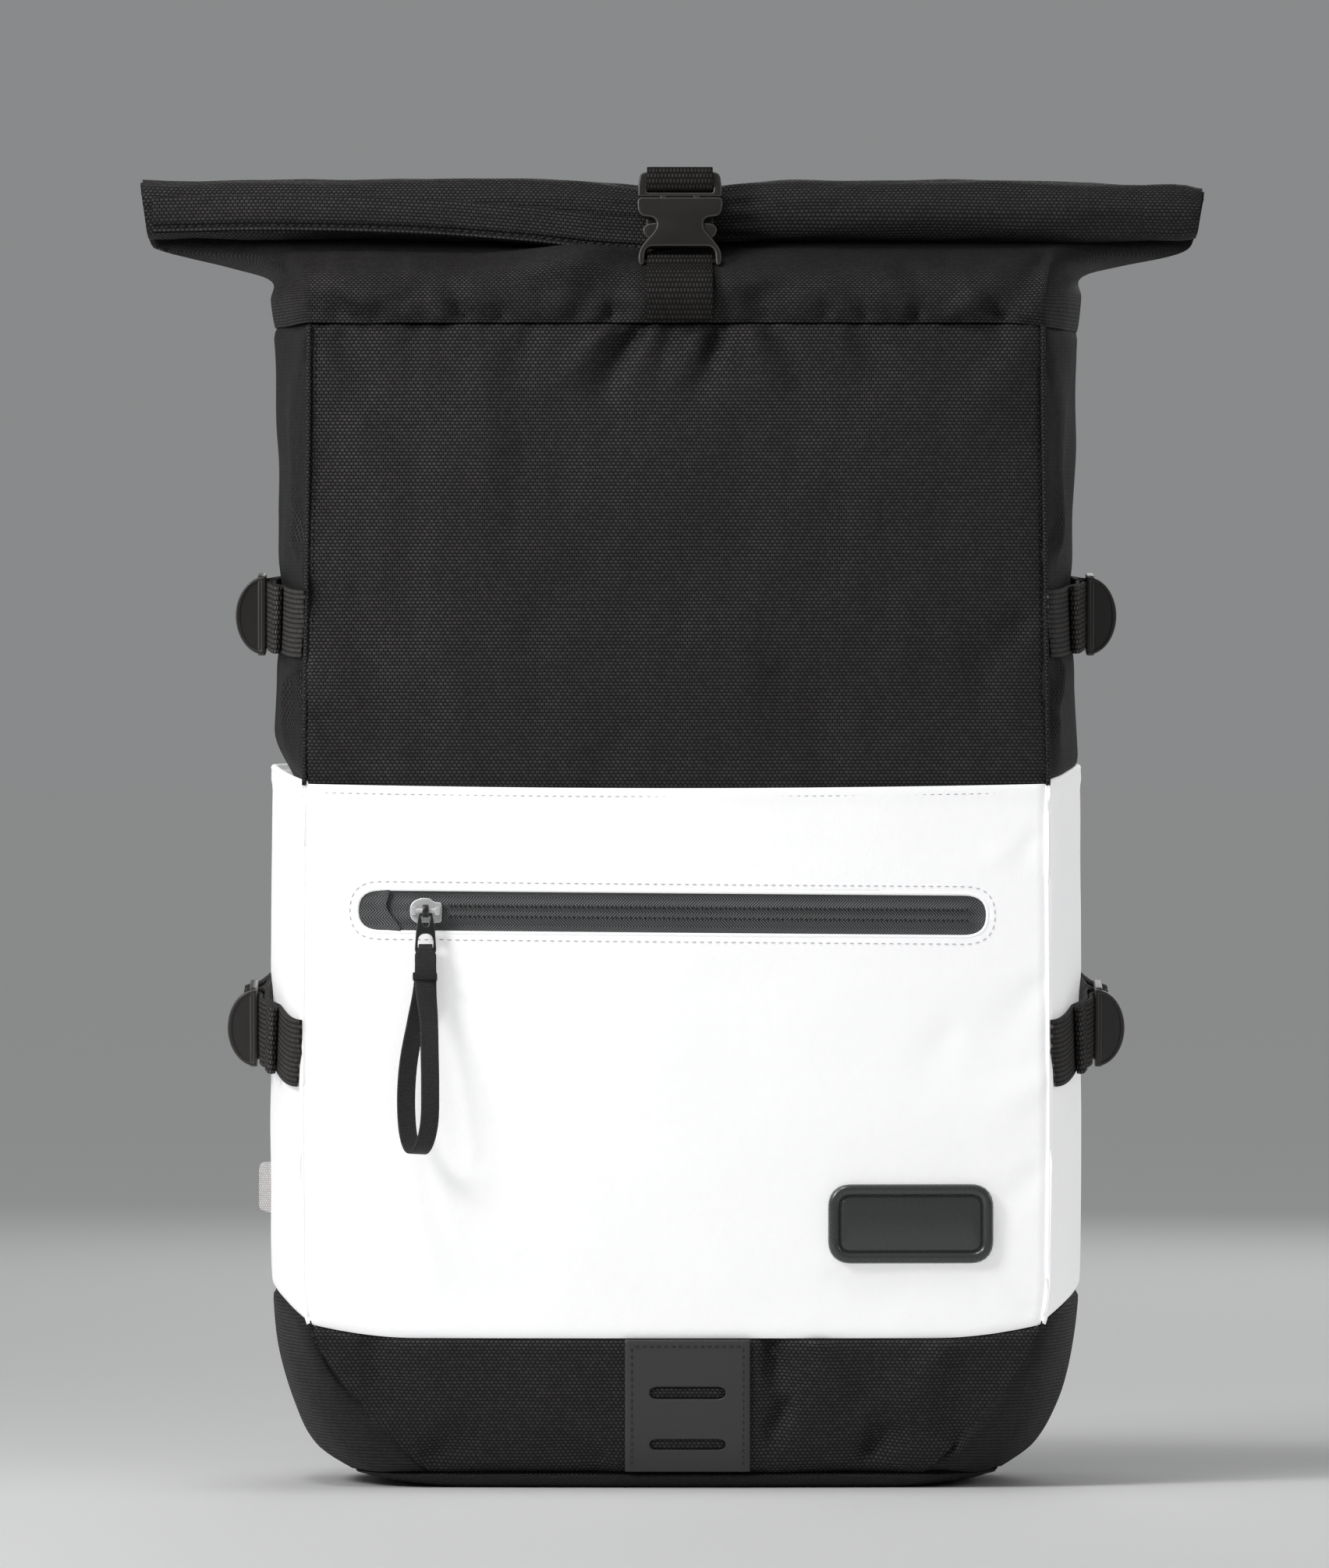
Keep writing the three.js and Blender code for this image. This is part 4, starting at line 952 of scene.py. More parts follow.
def seamPath(side, low, high, lift):
    path = []
    for i in range(40):
        z = mix(low, high, i / 39)
        point = loopPoint(side * seamT, levelAt(z))
        path.append((point.x + side * lift * 0.5, point.y - lift, z))
    return path


def buildWelts():
    mouth = mouthAt(seamT)
    for sideName, side in sides:
        path = seamPath(side, mouth - 0.5, bagShape["top"] - 0.5, 0.2)
        dress(tube("welt_upper_" + sideName, path, 0.9, 3.0), "nylon")
        path = seamPath(side, bootTopAt(seamT) + 3, mouth - 0.3, -0.55)
        dress(tube("welt_lower_" + sideName, path, 0.6, 3.0), "glowingPaleCloth")


# Neck and roll: the two layers of the flattened neck, rolled forwards
neckColumns = (
    "step", "frontY", "frontZ", "backY", "backZ", "tipX", "tipY", "tipZ", "seamX", "bow", "power",
)
neckRows = [
    (0, -53, 430.3, 56, 430.3, 149.5, 0, 430.3, 135.6, 2, 1.35),
    (1, -54.5, 440, 55, 442, 149, 0, 439.5, 136, 3, 1.35),
    (2, -50, 449, 46, 453, 149.5, -4, 446.5, 137.5, 2.5, 1.3),
    (3, -41, 455.5, 24, 460.5, 166, -14, 451.5, 140, 1, 1.15),
    (4, -30, 459.3, 0, 463, 188, -24, 457, 143, 0, 1.05),
    (5, -22.5, 462.6, -17.8, 464.4, 193, -22, 463, 145, 0, 1),
]
roll = {
    "y": -28, "z": 472.8, "radius": 11, "pitch": 3.4, "half": 1.4, "from": -30, "step": 36, "steps": 13,
    "halfLength": 196, "firstTip": 193, "shift": -1.4, "seamX": 146, "sag": 0.2, "droop": 1.4,
}
neckSteps = 5  # rows of the neck before the roll starts
neckStraight = 0.8  # share of a layer that lies flat, the rest turns the corner
rollStart = 0.6  # how far the cloth has turned where the roll starts
pinch = {"x": 1.4, "reach": 30, "squeeze": 0.14, "drop": 2}
neckEar = {"lift": 1.2, "hang": 2.4, "reach": 3.4, "backX": 140}
gathers = [  # place on the seam, lean, height, depth
    (-77, -0.5, 20, 3.6), (-64, -0.3, 10, 2.2), (-38, 0.35, 13, 2.6), (-25, 0.2, 16, 3.0),
    (53, 0.4, 12, 2.2), (70, -0.3, 13, 2.8), (88, 0.3, 14, 3.0), (122, -0.6, 20, 3.6),
    (-112, 0.5, 10, 2.0), (-124, -0.3, 12, 2.0), (34, -0.4, 16, 2.4), (105, 0.2, 9, 1.8),
]
neckFolds = [  # x, z, x, z, half width, depth
    (-146, 453, -127, 432, 4, 3.6), (-110, 430, -141, 443, 4, 3.6), (-141, 432, -142, 446, 5, -2.2),
    (-126, 446, -96, 436, 7, -2.4), (-96, 450, -60, 440, 8, -2.2), (-14, 458, -66, 450, 7, -5.0),
    (104, 434, 122, 449, 6, -3.6), (136, 454, 124, 436, 5, 2.8), (140, 431, 138, 447, 5, 2.2),
    (132, 431, 131, 444, 4, -2.2), (20, 446, 60, 452, 9, -2.2), (-20, 434, -40, 444, 6, 1.8),
    (30, 440, 60, 450, 6, 2.0), (-100, 440, -76, 452, 6, 1.8), (84, 450, 110, 436, 6, 1.8),
]


def neckAt(step):
    if step <= neckSteps:
        row = {key: columnAt(neckRows, c, step) for c, key in enumerate(neckColumns)}
        row["turn"] = rollStart * smooth(3, neckSteps, step)
        return row
    degrees = roll["from"] + roll["step"] * (step - neckSteps)
    radius = roll["radius"] - roll["pitch"] * (degrees - roll["from"]) / 360
    angle = math.radians(degrees)
    begun = smooth(neckSteps, neckSteps + 1, step)
    row = {"seamX": roll["seamX"], "bow": 0, "power": 1, "turn": mix(rollStart, 1, begun)}
    row["tipX"] = mix(roll["firstTip"], roll["halfLength"] + 1.4 * math.sin(angle), begun)
    for key, r in (("front", radius - roll["half"]), ("back", radius + roll["half"]), ("tip", radius)):
        row[key + "Y"] = roll["y"] + r * math.cos(angle)
        row[key + "Z"] = roll["z"] + r * math.sin(angle)
    return row


def neckPoint(row, s, front):
    middle = (row["frontY"], row["frontZ"]) if front else (row["backY"], row["backZ"])
    corner = row["seamX"] if front else max(row["seamX"], neckEar["backX"])
    turn = row["turn"]
    if abs(s) <= neckStraight:
        w = s / neckStraight
        bow = row["bow"] * (1 - w * w) if front else 0
        point = Vector((w * corner, middle[0] - bow, middle[1]))
    else:
        angle = (abs(s) - neckStraight) / (1 - neckStraight) * math.pi / 2
        bend = 2 / row["power"]
        out, keep = math.sin(angle) ** bend, max(math.cos(angle), 0) ** bend
        x = math.copysign(mix(corner, row["tipX"], out), s)
        point = Vector((x, mix(row["tipY"], middle[0], keep), mix(row["tipZ"], middle[1], keep)))
    if turn < rollStart:
        ear = smooth(120, 150, point.x) * (1 - smooth(150, 185, point.x)) * (1 - turn)
        hem = 1 - smooth(431, 441, point.z)
        hung = 0.4 * neckEar["hang"] * hem * smooth(-136, -146, point.x)
        point.z += ear * mix(neckEar["lift"], -neckEar["hang"], hem) - hung
    out = smooth(0.15, 0.5, turn) * (1 - smooth(0.65, 1, turn)) * smooth(-150, -186, point.x)
    point.x -= neckEar["reach"] * out  # the left ear starts at the end of the roll
    bite = turn * hump(point.x, pinch["x"], pinch["reach"])
    if turn > rollStart:
        part = smooth(rollStart, 1, turn)
        point.y = mix(point.y, roll["y"], pinch["squeeze"] * bite * part)
        point.z = mix(point.z, roll["z"], pinch["squeeze"] * bite * part)
        if point.z < roll["z"]:
            point.z += (point.z - roll["z"]) * roll["sag"] * part
        blunt = 0.2 * part * smooth(184, 197, point.x) ** 2  # the right end is rounded
        point.y, point.z = mix(point.y, roll["y"], blunt), mix(point.z, roll["z"], blunt)
        point.x += roll["shift"] * part
        point.z -= roll["droop"] * part * smooth(60, 200, point.x)
    point.z -= pinch["drop"] * bite
    return point


def buildRoll():
    stepsIn = neckSteps + roll["steps"]
    vSteps = 116
    rows = [neckAt(stepsIn * i / vSteps) for i in range(vSteps + 1)]
    lengths = [0]
    for before, after in zip(rows, rows[1:]):
        gone = math.hypot(after["backY"] - before["backY"], after["backZ"] - before["backZ"])
        lengths.append(lengths[-1] + gone)

    def place(u, v):
        i = round(v * vSteps)
        row = rows[i]
        front = u < 0.5
        s = 4 * u - 1 if front else 3 - 4 * u
        point = neckPoint(row, s, front)
        step = stepsIn * v
        x, z = point.x, point.z
        past = abs(s) - neckStraight
        if past > 0 and step < 3:  # the corner stands out as a soft pleat
            pleat = 2.2 * math.sin(math.pi * past / 0.4) * math.sin(math.pi * min(step / 2.4, 1))
            point.x += math.copysign(pleat, s)
        if front and step < 4.5:
            fade = 1 - smooth(3.2, 4.4, step)
            up = max(z - bagShape["top"], 0)
            sewn = mix(0.15, 1, smooth(0, 3.5, up))  # calmer where it is sewn to the panel
            depth = sewn * creased(x, z, neckFolds)
            for at, lean, high, deep in gathers:
                off = (x - at - lean * up) / (2.7 + 0.12 * up)
                depth += 1.4 * sewn * deep * math.exp(-off * off) * max(1 - up / high, 0)
            depth += 1.1 * sewn * pucker(x, z - bagShape["top"])
            depth += 1.3 * ripple(x, z, 22, 8) + 0.8 * ripple(x, z, 9, 9)
            point.y += fade * depth
            pushed = hump(x, -36, 19) * smooth(1.2, 2.2, step) * (1 - smooth(3.1, 3.9, step))
            point += Vector((0, -6.5, 3.2)) * pushed  # a fold pressed forward beside the buckle
            point.y += 0.7 * hump(z, bagShape["top"] + 0.3, 1.6)
        elif step < 4.5:
            point.y -= (1 - smooth(3.2, 4.4, step)) * 1.2 * ripple(x, z, 24, 10)
        else:  # both layers of the roll move together
            calm = smooth(4.5, 6, step)
            swell = 0.9 * ripple(x, 40 * step, 46, 11) + 0.45 * ripple(x, 26 * step, 17, 12)
            strain = 0.5 * hump(abs(x - pinch["x"]), 20, 9) * math.sin(step * 6.5)
            away = Vector((0, point.y - roll["y"], point.z - roll["z"]))
            point += away.normalized() * calm * (swell + strain)
        run = x if past <= 0 else math.copysign(row["seamX"] + 285 * past, s)
        return point, (mix(run, x, smooth(3, 5, step)), lengths[i])

    piece = clothSheet("roll_cloth", place, 252, vSteps, 1.2, -1, 0.3, close=True)
    dress(piece, "nylon", replaces=["roll_top"])


lip = {  # hem of the mouth, seen below the left half of the roll: x, lower edge, how far it stands forward
    "rows": [
        (-194, 464.2, -39.4), (-150, 464.9, -40.2), (-96, 463.6, -41),
        (-56, 460.8, -42), (-30, 458, -42.6), (-8, 456.6, -42.6),
    ],
    "rollHigh": 13.2,
    "rollDeep": 12.6,
    "rise": 13,
    "thick": 2.2,
    "stitchUp": 2.0,
}


def lipPoint(x, up):  # up from the lower edge, along the roll's front
    edgeZ, edgeY = (columnAt(lip["rows"], c, x) for c in (1, 2))
    z = edgeZ + up
    lower = max(roll["z"] - z, 0) / lip["rollHigh"]
    onRoll = roll["y"] - lip["rollDeep"] * math.sqrt(max(1 - lower * lower, 0.05))
    y = mix(edgeY, onRoll + 0.4, smooth(0, lip["rise"], up))
    return Vector((x, y - 0.9 * math.sin(math.pi * min(up / lip["rise"], 1)), z))


def buildLip():
    def place(u, v):
        x = mix(lip["rows"][0][0], lip["rows"][-1][0], u)
        up = v * lip["rise"]
        point = lipPoint(x, up)
        point.y += 0.5 * ripple(x, 20 * v, 18, 13) + 1.5 * hump(up, lip["stitchUp"], 0.9)
        return point, (x, up)

    piece = clothSheet("roll_hem", place, 120, 26, lip["thick"], -1, 0.7)
    dress(piece, "nylon")
    line = [lipPoint(x, lip["stitchUp"]) + Vector((0, 1.1, 0)) for x in range(-190, -12, 8)]
    dress(stitchRow("roll_hem_stitches", [(line, forward)]), "thread")


# Closure strap and buckle; the buckle's own plane leans back
closure = {"x": 1.4, "wide": 24.4, "thick": 1.3}
buckle = {"y": -45.6, "z": 476.4, "lean": math.radians(8)}


def buckleTurn():
    middle = Matrix.Translation((closure["x"], buckle["y"], buckle["z"]))
    return middle @ Matrix.Rotation(-buckle["lean"], 4, "X")


def onBuckle(points):  # points given as outwards and up in the buckle's own plane
    return [buckleTurn() @ Vector((0, -out, up)) for out, up in points]


def onStrap(points):  # points given as Y and Z on the strap's middle line
    return [Vector((closure["x"], y, z)) for y, z in points]


def buildClosure():
    plugBar = [(-3.2, 9), (-3.2, 5), (-1.8, 3.3), (1.3, 3.3), (3.1, 5), (2.8, 9.4), (1.1, 11.1)]
    over = [
        (-37, 486.4), (-31, 484.4), (-25.5, 481.8), (-19.2, 478.8), (-13.2, 474.8), (-4, 468.9), (8, 465.7),
        (26, 462.6), (40, 458.2), (47.4, 454.6), (53, 449.2), (57.4, 441.4), (58, 432), (58.1, 414),
    ]
    behind = [(-56.1, 431.5), (-58.8, 440), (-57, 446.6), (-52.6, 451.2)]
    socketBar = [
        (-1.9, -25.6), (-2.1, -23.6), (-1.4, -22), (0, -21.5), (1.5, -22), (2.2, -23.6), (2.9, -25.6),
    ]
    before = [(-57, 449.4), (-60.6, 444.6), (-61.4, 438.6), (-58.4, 431.5)]
    upper = onBuckle(plugBar) + onStrap(over)
    lower = onStrap(behind) + onBuckle(socketBar) + onStrap(before)
    across = (1, 0, 0)
    for level, points, step in (("upper", upper, 1.5), ("lower", lower, 1.0)):
        name = "closure_webbing_" + level
        band = webbingBand(name, points, across, closure["wide"], closure["thick"], step)
        dress(band, "webbing", replaces=["closure_strap_" + level])


def buildBuckle():
    bm = bmesh.new()
    shape = evenSided([
        (14.9, 0, 0.8), (15.8, -1.2, 0.8), (15.6, -5, 1.4), (14.2, -7, 1.2), (9.6, -7.5, 1.4),
        (8.4, -9.6, 1.4), (9, -12.4, 2.5), (12.6, -16.2, 2.5), (15, -19.6, 2), (15.5, -23, 1.5),
        (14.9, -25.4, 0.7), (13.4, -25.4, 0.7), (13.0, -20, 1.5), (11.4, -18.3, 2),
    ])
    addSlab(bm, [shape], -3.5, 3.5, 0.55, 4)
    addSlab(bm, [roundBox(12.4, 5, 1.5, 0, -11)], 2, 3.2, 0.3, 2)
    addBar(bm, 1.2, 28, 16, (0, 0, -23.6))
    dress(placed("buckle_body", bm, buckleTurn()), "plastic", replaces=["buckle_socket"])
    bm = bmesh.new()
    shape = evenSided([(13.6, 9.6, 1.2), (14.9, 8.4, 1.5), (15.5, 4, 1), (15.5, 0.4, 0.8)])
    addSlab(bm, [shape, roundBox(12.4, 1.4, 0.8, 0, 3.3)], -2.5, 2.3, 0.55, 4)
    hook = [
        (7.4, 1, 0.6), (7.4, -9.2, 0.8), (12.4, -9.8, 1.2), (13.9, -11.6, 1.4),
        (13.2, -14.2, 2), (10.6, -15.8, 1), (5, -14.8, 1.2), (5, 1, 0.6),
    ]
    for side in (-1, 1):
        addSlab(bm, [[(side * x, z, r) for x, z, r in hook]], -2.4, 1.8, 0.5, 3)
    dress(placed("buckle_clip", bm, buckleTurn()), "plastic", replaces=["buckle_plug"])


# Zip of the front pocket
zipTape = {"from": -120.5, "to": 117.6, "coilFrom": -103, "coilTo": 111, "sunk": 0.3}
zipCover = {"from": -117.4, "low": -101.5, "high": -106.8, "half": 7.6}
sliderX = -92.3
sliderLift = 0.6
bridgeLift = 4.7


def buildZip():
    half = [(0.3, 0.7), (1.6, 1.2), (3.4, 1.0), (4.6, 0.1), (8, 0), (12, 0)]  # off the middle, height
    profile = [(-off, ridge) for off, ridge in reversed(half)] + half

    def place(u, v):
        off, ridge = profile[round(v * (len(profile) - 1))]
        x = mix(zipTape["from"], zipTape["to"], u)
        z = zipZ(x) + off
        start, end = zipTape["coilFrom"], zipTape["coilTo"]
        coil = smooth(start, start + 5, x) * (1 - smooth(end - 4, end, x)) * ridge
        return Vector((x, skinY(x, z) + bagShape["cloth"] + zipTape["sunk"] - coil, z)), (x, off)

    tape = clothSheet("zip_tape_cloth", place, 120, len(profile) - 1, 0.8)
    dress(tape, "zipCloth", replaces=["zip_tape"])
    lines = []
    for off in (-1.9, 1.9):
        spots = [(x, skinY(x, zipZ(x) + off) + 0.15, zipZ(x) + off) for x in range(-84, 112, 6)]
        lines.append((spots, forward))
    dress(stitchRow("zip_coil_threads", lines, 1.15, 1.75, 0.5), "zipCloth")

    def fold(u, v):  # cover over the start of the coil
        off = mix(-zipCover["half"], zipCover["half"], v)
        end = mix(zipCover["low"], zipCover["high"], smooth(0, 0.62, v)) + 1.2 * smooth(0.62, 1, v)
        x = mix(zipCover["from"], end, u)
        z = zipZ(x) + off
        return Vector((x, skinY(x, z) + 0.6 - 0.9 * smooth(0.55, 1, u), z)), (x, off)

    flap = clothSheet("zip_end_cover", fold, 16, 12, 0.8, soft=0.25)
    dress(flap, "zipCloth", replaces=["zip_flap"])


def sliderTurn():
    z = zipZ(sliderX)
    return Matrix.Translation((sliderX, skinY(sliderX, z) - sliderLift, z))


def buildSlider():
    bm = bmesh.new()
    shape = [
        (-6, 1.5, 1.5), (-4.6, 3.6, 1.2), (-1.6, 4.9, 1.6), (1.6, 4.6, 1), (3, 3.3, 1), (5.8, 3.1, 0.8),
        (6, 0, 0.6), (5.8, -4.2, 0.8), (2.4, -4.6, 1), (0, -4.2, 1), (-3.2, -4.6, 1.2), (-5.6, -3, 1.5),
    ]
    addSlab(bm, [shape], -1.7, 0, 0.4, 3)
    for x in (-4.4, 4.4):
        addSlab(bm, [roundBox(0.9, 1.5, 0.5, x)], -bridgeLift - 0.9, -1, 0.3, 2)
    addBar(bm, 1, 9.8, 20, (0, -bridgeLift, 0))
    dress(placed("zip_slider_body", bm, sliderTurn()), "nickel", replaces=["zip_slider"])


pullLean = math.radians(-6)


def hangTurn():
    return sliderTurn() @ Matrix.Translation((0, -bridgeLift, 0)) @ Matrix.Rotation(pullLean, 4, "X")


def buildPull():
    bm = bmesh.new()
    shape = evenSided([
        (2.4, -0.8, 0.5), (2.8, -2.8, 1), (3.5, -7.2, 1.5), (4.0, -14.6, 1), (3.4, -16, 0.8),
    ])
    fork = [(-1.9, -1.9, 0.4), (1.9, -1.9, 0.4), (1.0, -5.8, 0.6), (-1.0, -5.8, 0.6)]
    hole = [
        (-1.6, -8.4, 1.6), (1.6, -8.4, 1.6), (2.9, -10.4, 1.4),
        (2.8, -13.9, 0.5), (-2.8, -13.9, 0.5), (-2.9, -10.4, 1.4),
    ]
    addSlab(bm, [shape, fork, hole], -0.75, 0.75, 0.2, 3)
    eye = bmesh.new()
    circle = [(math.cos(a), math.sin(a)) for a in [2 * math.pi * i / 24 for i in range(24)]]
    ring, bore = ([(radius * x, radius * z, 0) for x, z in circle] for radius in (2.4, 1.4))
    addSlab(eye, [ring, bore], -1.2, 1.2, 0.3, 2)
    bmesh.ops.transform(eye, matrix=Matrix.Rotation(math.pi / 2, 4, "Z"), verts=eye.verts)
    eyeMesh = bpy.data.meshes.new("eye")
    eye.to_mesh(eyeMesh)
    eye.free()
    bm.from_mesh(eyeMesh)
    dress(placed("zip_pull_tab", bm, hangTurn()), "darkMetal", "zip_pull_body", ["zip_pull"])


pullLoop = {"twist": math.radians(37), "lean": -4.6, "narrow": 5.2, "wide": 7.9}


def buildPullLoop():
    throughPull = [(1.5, -24), (1.5, -17), (1.55, -14.2), (0.8, -12.8)]
    backUp = [(-n, z) for n, z in reversed(throughPull)]
    outer = [(-2.6, -31), (-5.4, -41), (-8.8, -53), (-10.8, -66), (-10.4, -78), (-7.6, -86), (-3.4, -89.4)]
    inner = [(0.6, -87.4), (3.4, -80), (4.2, -68), (3.8, -55), (2.9, -41), (2.1, -31)]

    def twist(z):
        return pullLoop["twist"] * smooth(18, 44, -z)

    points = []
    for n, z in throughPull + backUp + outer + inner:
        lean = pullLoop["lean"] * smooth(22, 66, -z)
        points.append(Vector((lean - n * math.sin(twist(z)), n * math.cos(twist(z)), z)))
    route, length = smoothRoute(points, 1.0, True)
    turn = hangTurn()

    def place(u, v):
        i = round(v * (len(route) - 1))
        z = route[i].z
        side = Vector((math.cos(twist(z)), math.sin(twist(z)), 0))
        off = (u - 0.5) * mix(pullLoop["narrow"], pullLoop["wide"], smooth(13.6, 16.4, -z))
        return turn @ (route[i] + side * off), (off, length * v)

    band = clothSheet("pull_loop_webbing", place, 6, len(route) - 1, 1.0, 0, 0.3, close=True)
    dress(band, "tape", "zip_pull_body", ["pull_loop"])
    bm = bmesh.new()
    addSlab(bm, [roundBox(4.5, 1.5, 0.7, -0.2, -24.3)], -3.1, 2.7, 0.45, 3)
    dress(placed("pull_loop_tack", bm, turn), "tape", "zip_pull_body")


# Trim
def frontLine(points, lift):  # points in X and Z laid on the front of the bag
    return [Vector((x, skinY(x, z) - lift, z)) for x, z in points]


lightPatch = {
    "slots": [(35.6, 2.3), (16.4, 2.0)],  # height and half height
    "slotHalf": 14,
    "stitchIn": 2.6,
    "stitchLift": 1.5,
}


def buildPatch():
    middle, half = bootShape["patchX"], bootShape["patchHalf"]
    slots, slotHalf = lightPatch["slots"], lightPatch["slotHalf"]
    low, high = bagShape["base"] + 0.8, bagShape["bootTop"] - 0.2

    def place(u, v):
        x = middle + half * (2 * u - 1)
        z = mix(low, high, v)
        edge = min(half - abs(x - middle), high - z)
        return Vector((x, skinY(x, z) - 1.1 - 0.4 * smooth(0, 1.2, edge), z)), (x, z)

    piece = clothSheet("light_patch_cover", place, 48, 50, 1.1, -1, 0.35)
    bm = bmesh.new()
    for z, halfHigh in slots:
        outline = roundBox(slotHalf, halfHigh, halfHigh * 1.5, middle, z)
        addSlab(bm, [outline], *cutDepths, 0, steps=8)
    cutWith(piece, placed("slots", bm))
    dress(piece, "patch", replaces=["light_patch"])
    for i, (slotZ, halfHigh) in enumerate(slots):
        def bulge(u, v):
            x = middle + (slotHalf + 0.4) * (2 * u - 1)
            z = slotZ + (halfHigh + 0.4) * (2 * v - 1)
            rise = (1 - (2 * v - 1) ** 2) * (1 - (2 * u - 1) ** 8)
            return Vector((x, skinY(x, z) - 0.35 - 0.95 * rise, z)), (x, z)

        dress(clothSheet(f"light_loop_{i}", bulge, 40, 10, 0.4, -1, 0), "nylon")
    inset, lift = lightPatch["stitchIn"], lightPatch["stitchLift"]
    lines = []
    for side in (-1, 1):
        x = middle + side * (half - inset)
        lines.append((frontLine([(x, z) for z in range(8, 54, 5)], lift), forward))
    lines.append((frontLine([(middle + x, high - inset) for x in range(-20, 21, 4)], lift), forward))
    dress(stitchRow("light_patch_stitches", lines, 1.9, 2.7, 0.3), "thread")


badge = {  # outlines as half width, half height and rounding
    "x": 86.4, "z": 98, "lift": 0.75, "rimFat": 2.15, "rimOut": 0.85,
    "plaque": (25.7, 9.8, 3.6), "floor": (27.6, 11.7, 5.4), "rim": (28.4, 12.5, 6.4),
}


def buildBadge():
    x, z = badge["x"], badge["z"]
    turn = math.atan2(skinY(x + 20, z) - skinY(x - 20, z), 40)
    matrix = Matrix.Translation((x, skinY(x, z) - badge["lift"], z)) @ Matrix.Rotation(turn, 4, "Z")
    bm = bmesh.new()
    addSlab(bm, [roundBox(*badge["plaque"])], -1.7, 0.2, 0.4, 3, 7)
    addSlab(bm, [roundBox(*badge["floor"])], -0.5, 0.2, 0, steps=7)  # of the groove round the plaque
    dress(placed("badge_plaque", bm, matrix, 50), "rubber", replaces=["badge"])
    outline = softLoop(roundBox(*badge["rim"]), 7)
    ring = evenRing([Vector((across, -badge["rimOut"], up)) for across, up in outline], 1.5)
    rim = tube("badge_rim", [matrix @ spot for spot in ring], badge["rimFat"], 1.5, 14, True, (0, 1, 0))
    dress(rim, "rubber")


def buildTag():
    bm = bmesh.new()
    shape = [(0.6, 0, 0), (-4, 1.2, 1), (-4.7, 3, 1), (-4.7, 17, 1), (-3.8, 19.2, 1), (0.6, 19.5, 0)]
    addSlab(bm, [shape], -0.75, 0.75, 0.5, 3)
    low, middleZ, y = 98.8, 108, 9
    matrix = Matrix.Translation((-sideX(y, middleZ) - 0.3, y, low))
    piece = placed("side_tag_tape", bm, matrix)
    threads = piece.data.uv_layers.new(name="cloth")
    for loop in piece.data.loops:
        spot = piece.data.vertices[loop.vertex_index].co
        threads.data[loop.index].uv = (spot.x, spot.z)
    dress(piece, "tagTape", replaces=["side_tag"])


# Side straps: s runs from the front seam, h is the height over the bag's side
sideStraps = [{"level": "upper", "z": 319, "rise": 0.06}, {"level": "lower", "z": 160.7, "rise": 0.16}]
sideGear = {"at": 61.5, "wide": 25, "thick": 1.4}


def sideFrame(side, strap):
    tilt = math.atan(strap["rise"])
    startY = levelAt(strap["z"])["frontY"]
    half = sideGear["wide"] / 2
    at = sideGear["at"]

    def depth(s):  # slow round the corner
        return startY + mix(s * s / (s + 3), s + 1, smooth(4, 30, s)) * math.cos(tilt)

    def height(s):
        return strap["z"] + s * math.sin(tilt) * smooth(-4, 34, s)

    def surface(s):
        return max(sideX(depth(s), height(s) + off) for off in (-half, 0, half))

    plane = max(surface(at - 12), surface(at), surface(at + 12))

    def lying(s, off):
        y, z = depth(s) - off * math.sin(tilt), height(s) + off * math.cos(tilt)
        return Vector((mix(sideX(y, z), plane, smooth(30, 48, s) * (1 - smooth(78, 96, s))), y, z))

    def spot(s, h, off):
        point, run = lying(s, off), lying(s + 0.4, off) - lying(max(s - 0.4, 0), off)
        outward = Vector((run.y, -run.x, 0)).normalized()
        point += h * outward
        return Vector((side * point.x, point.y, point.z))

    # columns: along the strap, outwards, and across it, so that a slab's depth lies outwards
    along = Vector((0, math.cos(tilt), math.sin(tilt)))
    across = Vector((0, -math.sin(tilt), math.cos(tilt)))
    turn = Matrix((along, Vector((side, 0, 0)), across)).transposed().to_4x4()
    matrix = Matrix.Translation((side * plane, depth(at), height(at))) @ turn
    return spot, matrix


def sideBand(name, spot, path):  # webbing on a path of s and h, laid on the side of the bag
    route, length = smoothRoute([(s, h, 0) for s, h in path], 1.3)
    last = len(route) - 1

    def place(u, v):
        i = round(v * last)
        off = (u - 0.5) * sideGear["wide"]
        return spot(route[i].x, route[i].y, off), (length * i / last, off)

    band = clothSheet(name, place, 10, last, sideGear["thick"], 0, 0.4)
    return dress(band, "sideWebbing")


